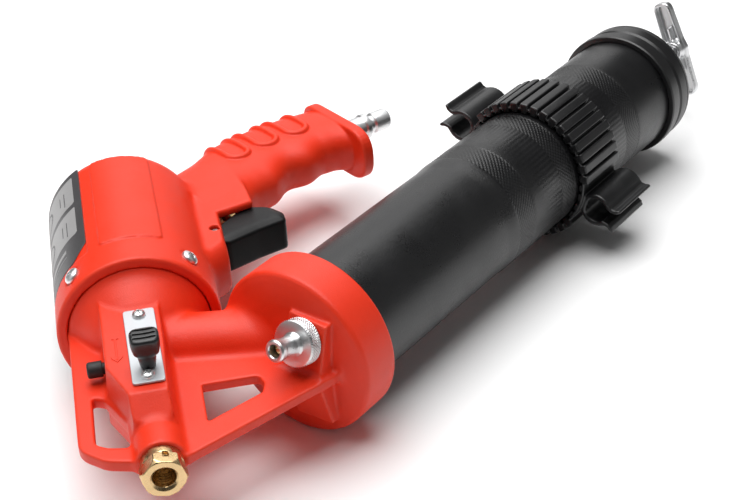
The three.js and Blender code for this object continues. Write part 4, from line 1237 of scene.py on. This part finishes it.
def handle_field(p):
    x, y, z = p.T
    side = polygon(y, z, WING)
    d = slab(side, x, -2.8, 1.6, 0.9)
    tray = slab(side + 1.5, x, -6, 0.2, 0.5)
    d = carve(d, tray, 0.6)
    d = union(d, rod(p, 5.2, -6, 1, 0.7), 1.6)
    web = np.maximum(np.maximum(np.abs(z) - 0.9, np.abs(y) - 12), np.maximum(-2.4 - x, x - 1.5))
    d = union(d, web, 0.9)
    return carve(d, rod(p, 3.3, -8, -0.8), 0.3)


shaped(
    "t_handle_casting", handle_field, (-6.1, -26.2, -6.8), (2.3, 26.2, 6.8), 0.42,
    (HANDLE_X, 0, 0), turned_axes(HANDLE_TURN), zinc, "t_handle",
)
turned_part(
    "follower_rod_ground", [(34, 0), (34, 2.6), (34.4, 3), (304.8, 3), (304.8, 0)],
    np.zeros(3), np.eye(3), zinc, "follower_rod", 48,
)


# ---- stage ----------------------------------------------------------------------------
# Name, place and size in metres, and power in watts.
LIGHTS = [
    ("overhead", (0.05, 0.2, 1.4), 1.5, 34),
    ("back", (1.0, 0.8, 0.72), 1.1, 4),
    ("left", (-0.9, 0.5, 0.7), 1.0, 1.9),
    ("right", (0.6, -1.1, 0.7), 1.2, 1.1),
]
AIM = Vector((0, 0, 0.03))


def stage():
    bpy.ops.mesh.primitive_plane_add(size=6, location=(0, 0, -0.0003))
    floor = bpy.context.object
    floor.name = "floor"
    m, nodes, links = nodes_of("pale_floor")
    nodes["Principled BSDF"].inputs["Base Color"].default_value = (0.93, 0.93, 0.93, 1)
    nodes["Principled BSDF"].inputs["Roughness"].default_value = 0.7
    floor.data.materials.append(m)
    world = bpy.data.worlds.new("studio")
    world.use_nodes = True
    world.node_tree.nodes["Background"].inputs["Color"].default_value = (1, 1, 1, 1)
    world.node_tree.nodes["Background"].inputs["Strength"].default_value = 0.07
    bpy.context.scene.world = world
    bpy.context.scene.view_settings.view_transform = "Standard"
    for name, at, size, power in LIGHTS:
        light = bpy.data.lights.new(name, "AREA")
        light.size = size
        light.energy = power
        lamp = bpy.data.objects.new(name, light)
        lamp.location = at
        lamp.rotation_euler = (Vector(at) - AIM).to_track_quat("Z", "Y").to_euler()
        bpy.context.scene.collection.objects.link(lamp)


stage()

# ---- camera ---------------------------------------------------------------------------
# The camera's axes and its place in the gun's frame.
RIGHT = Vector((0.58951, -0.80621, -0.04995))
UP = Vector((0.45298, 0.27876, 0.84682))
FORWARD = Vector((0.66879, 0.52184, -0.52954))
CAMERA_AT = (Vector((-381.6, -326.2, 349.1)) + Vector(DATUM)) * MM
camera = bpy.data.objects.new("camera", bpy.data.cameras.new("camera"))
camera.data.lens = 73.88
camera.data.sensor_width = 36
camera.matrix_world = Matrix(
    (
        (RIGHT.x, UP.x, -FORWARD.x, CAMERA_AT.x),
        (RIGHT.y, UP.y, -FORWARD.y, CAMERA_AT.y),
        (RIGHT.z, UP.z, -FORWARD.z, CAMERA_AT.z),
        (0, 0, 0, 1),
    )
)
bpy.context.scene.collection.objects.link(camera)
bpy.context.scene.camera = camera
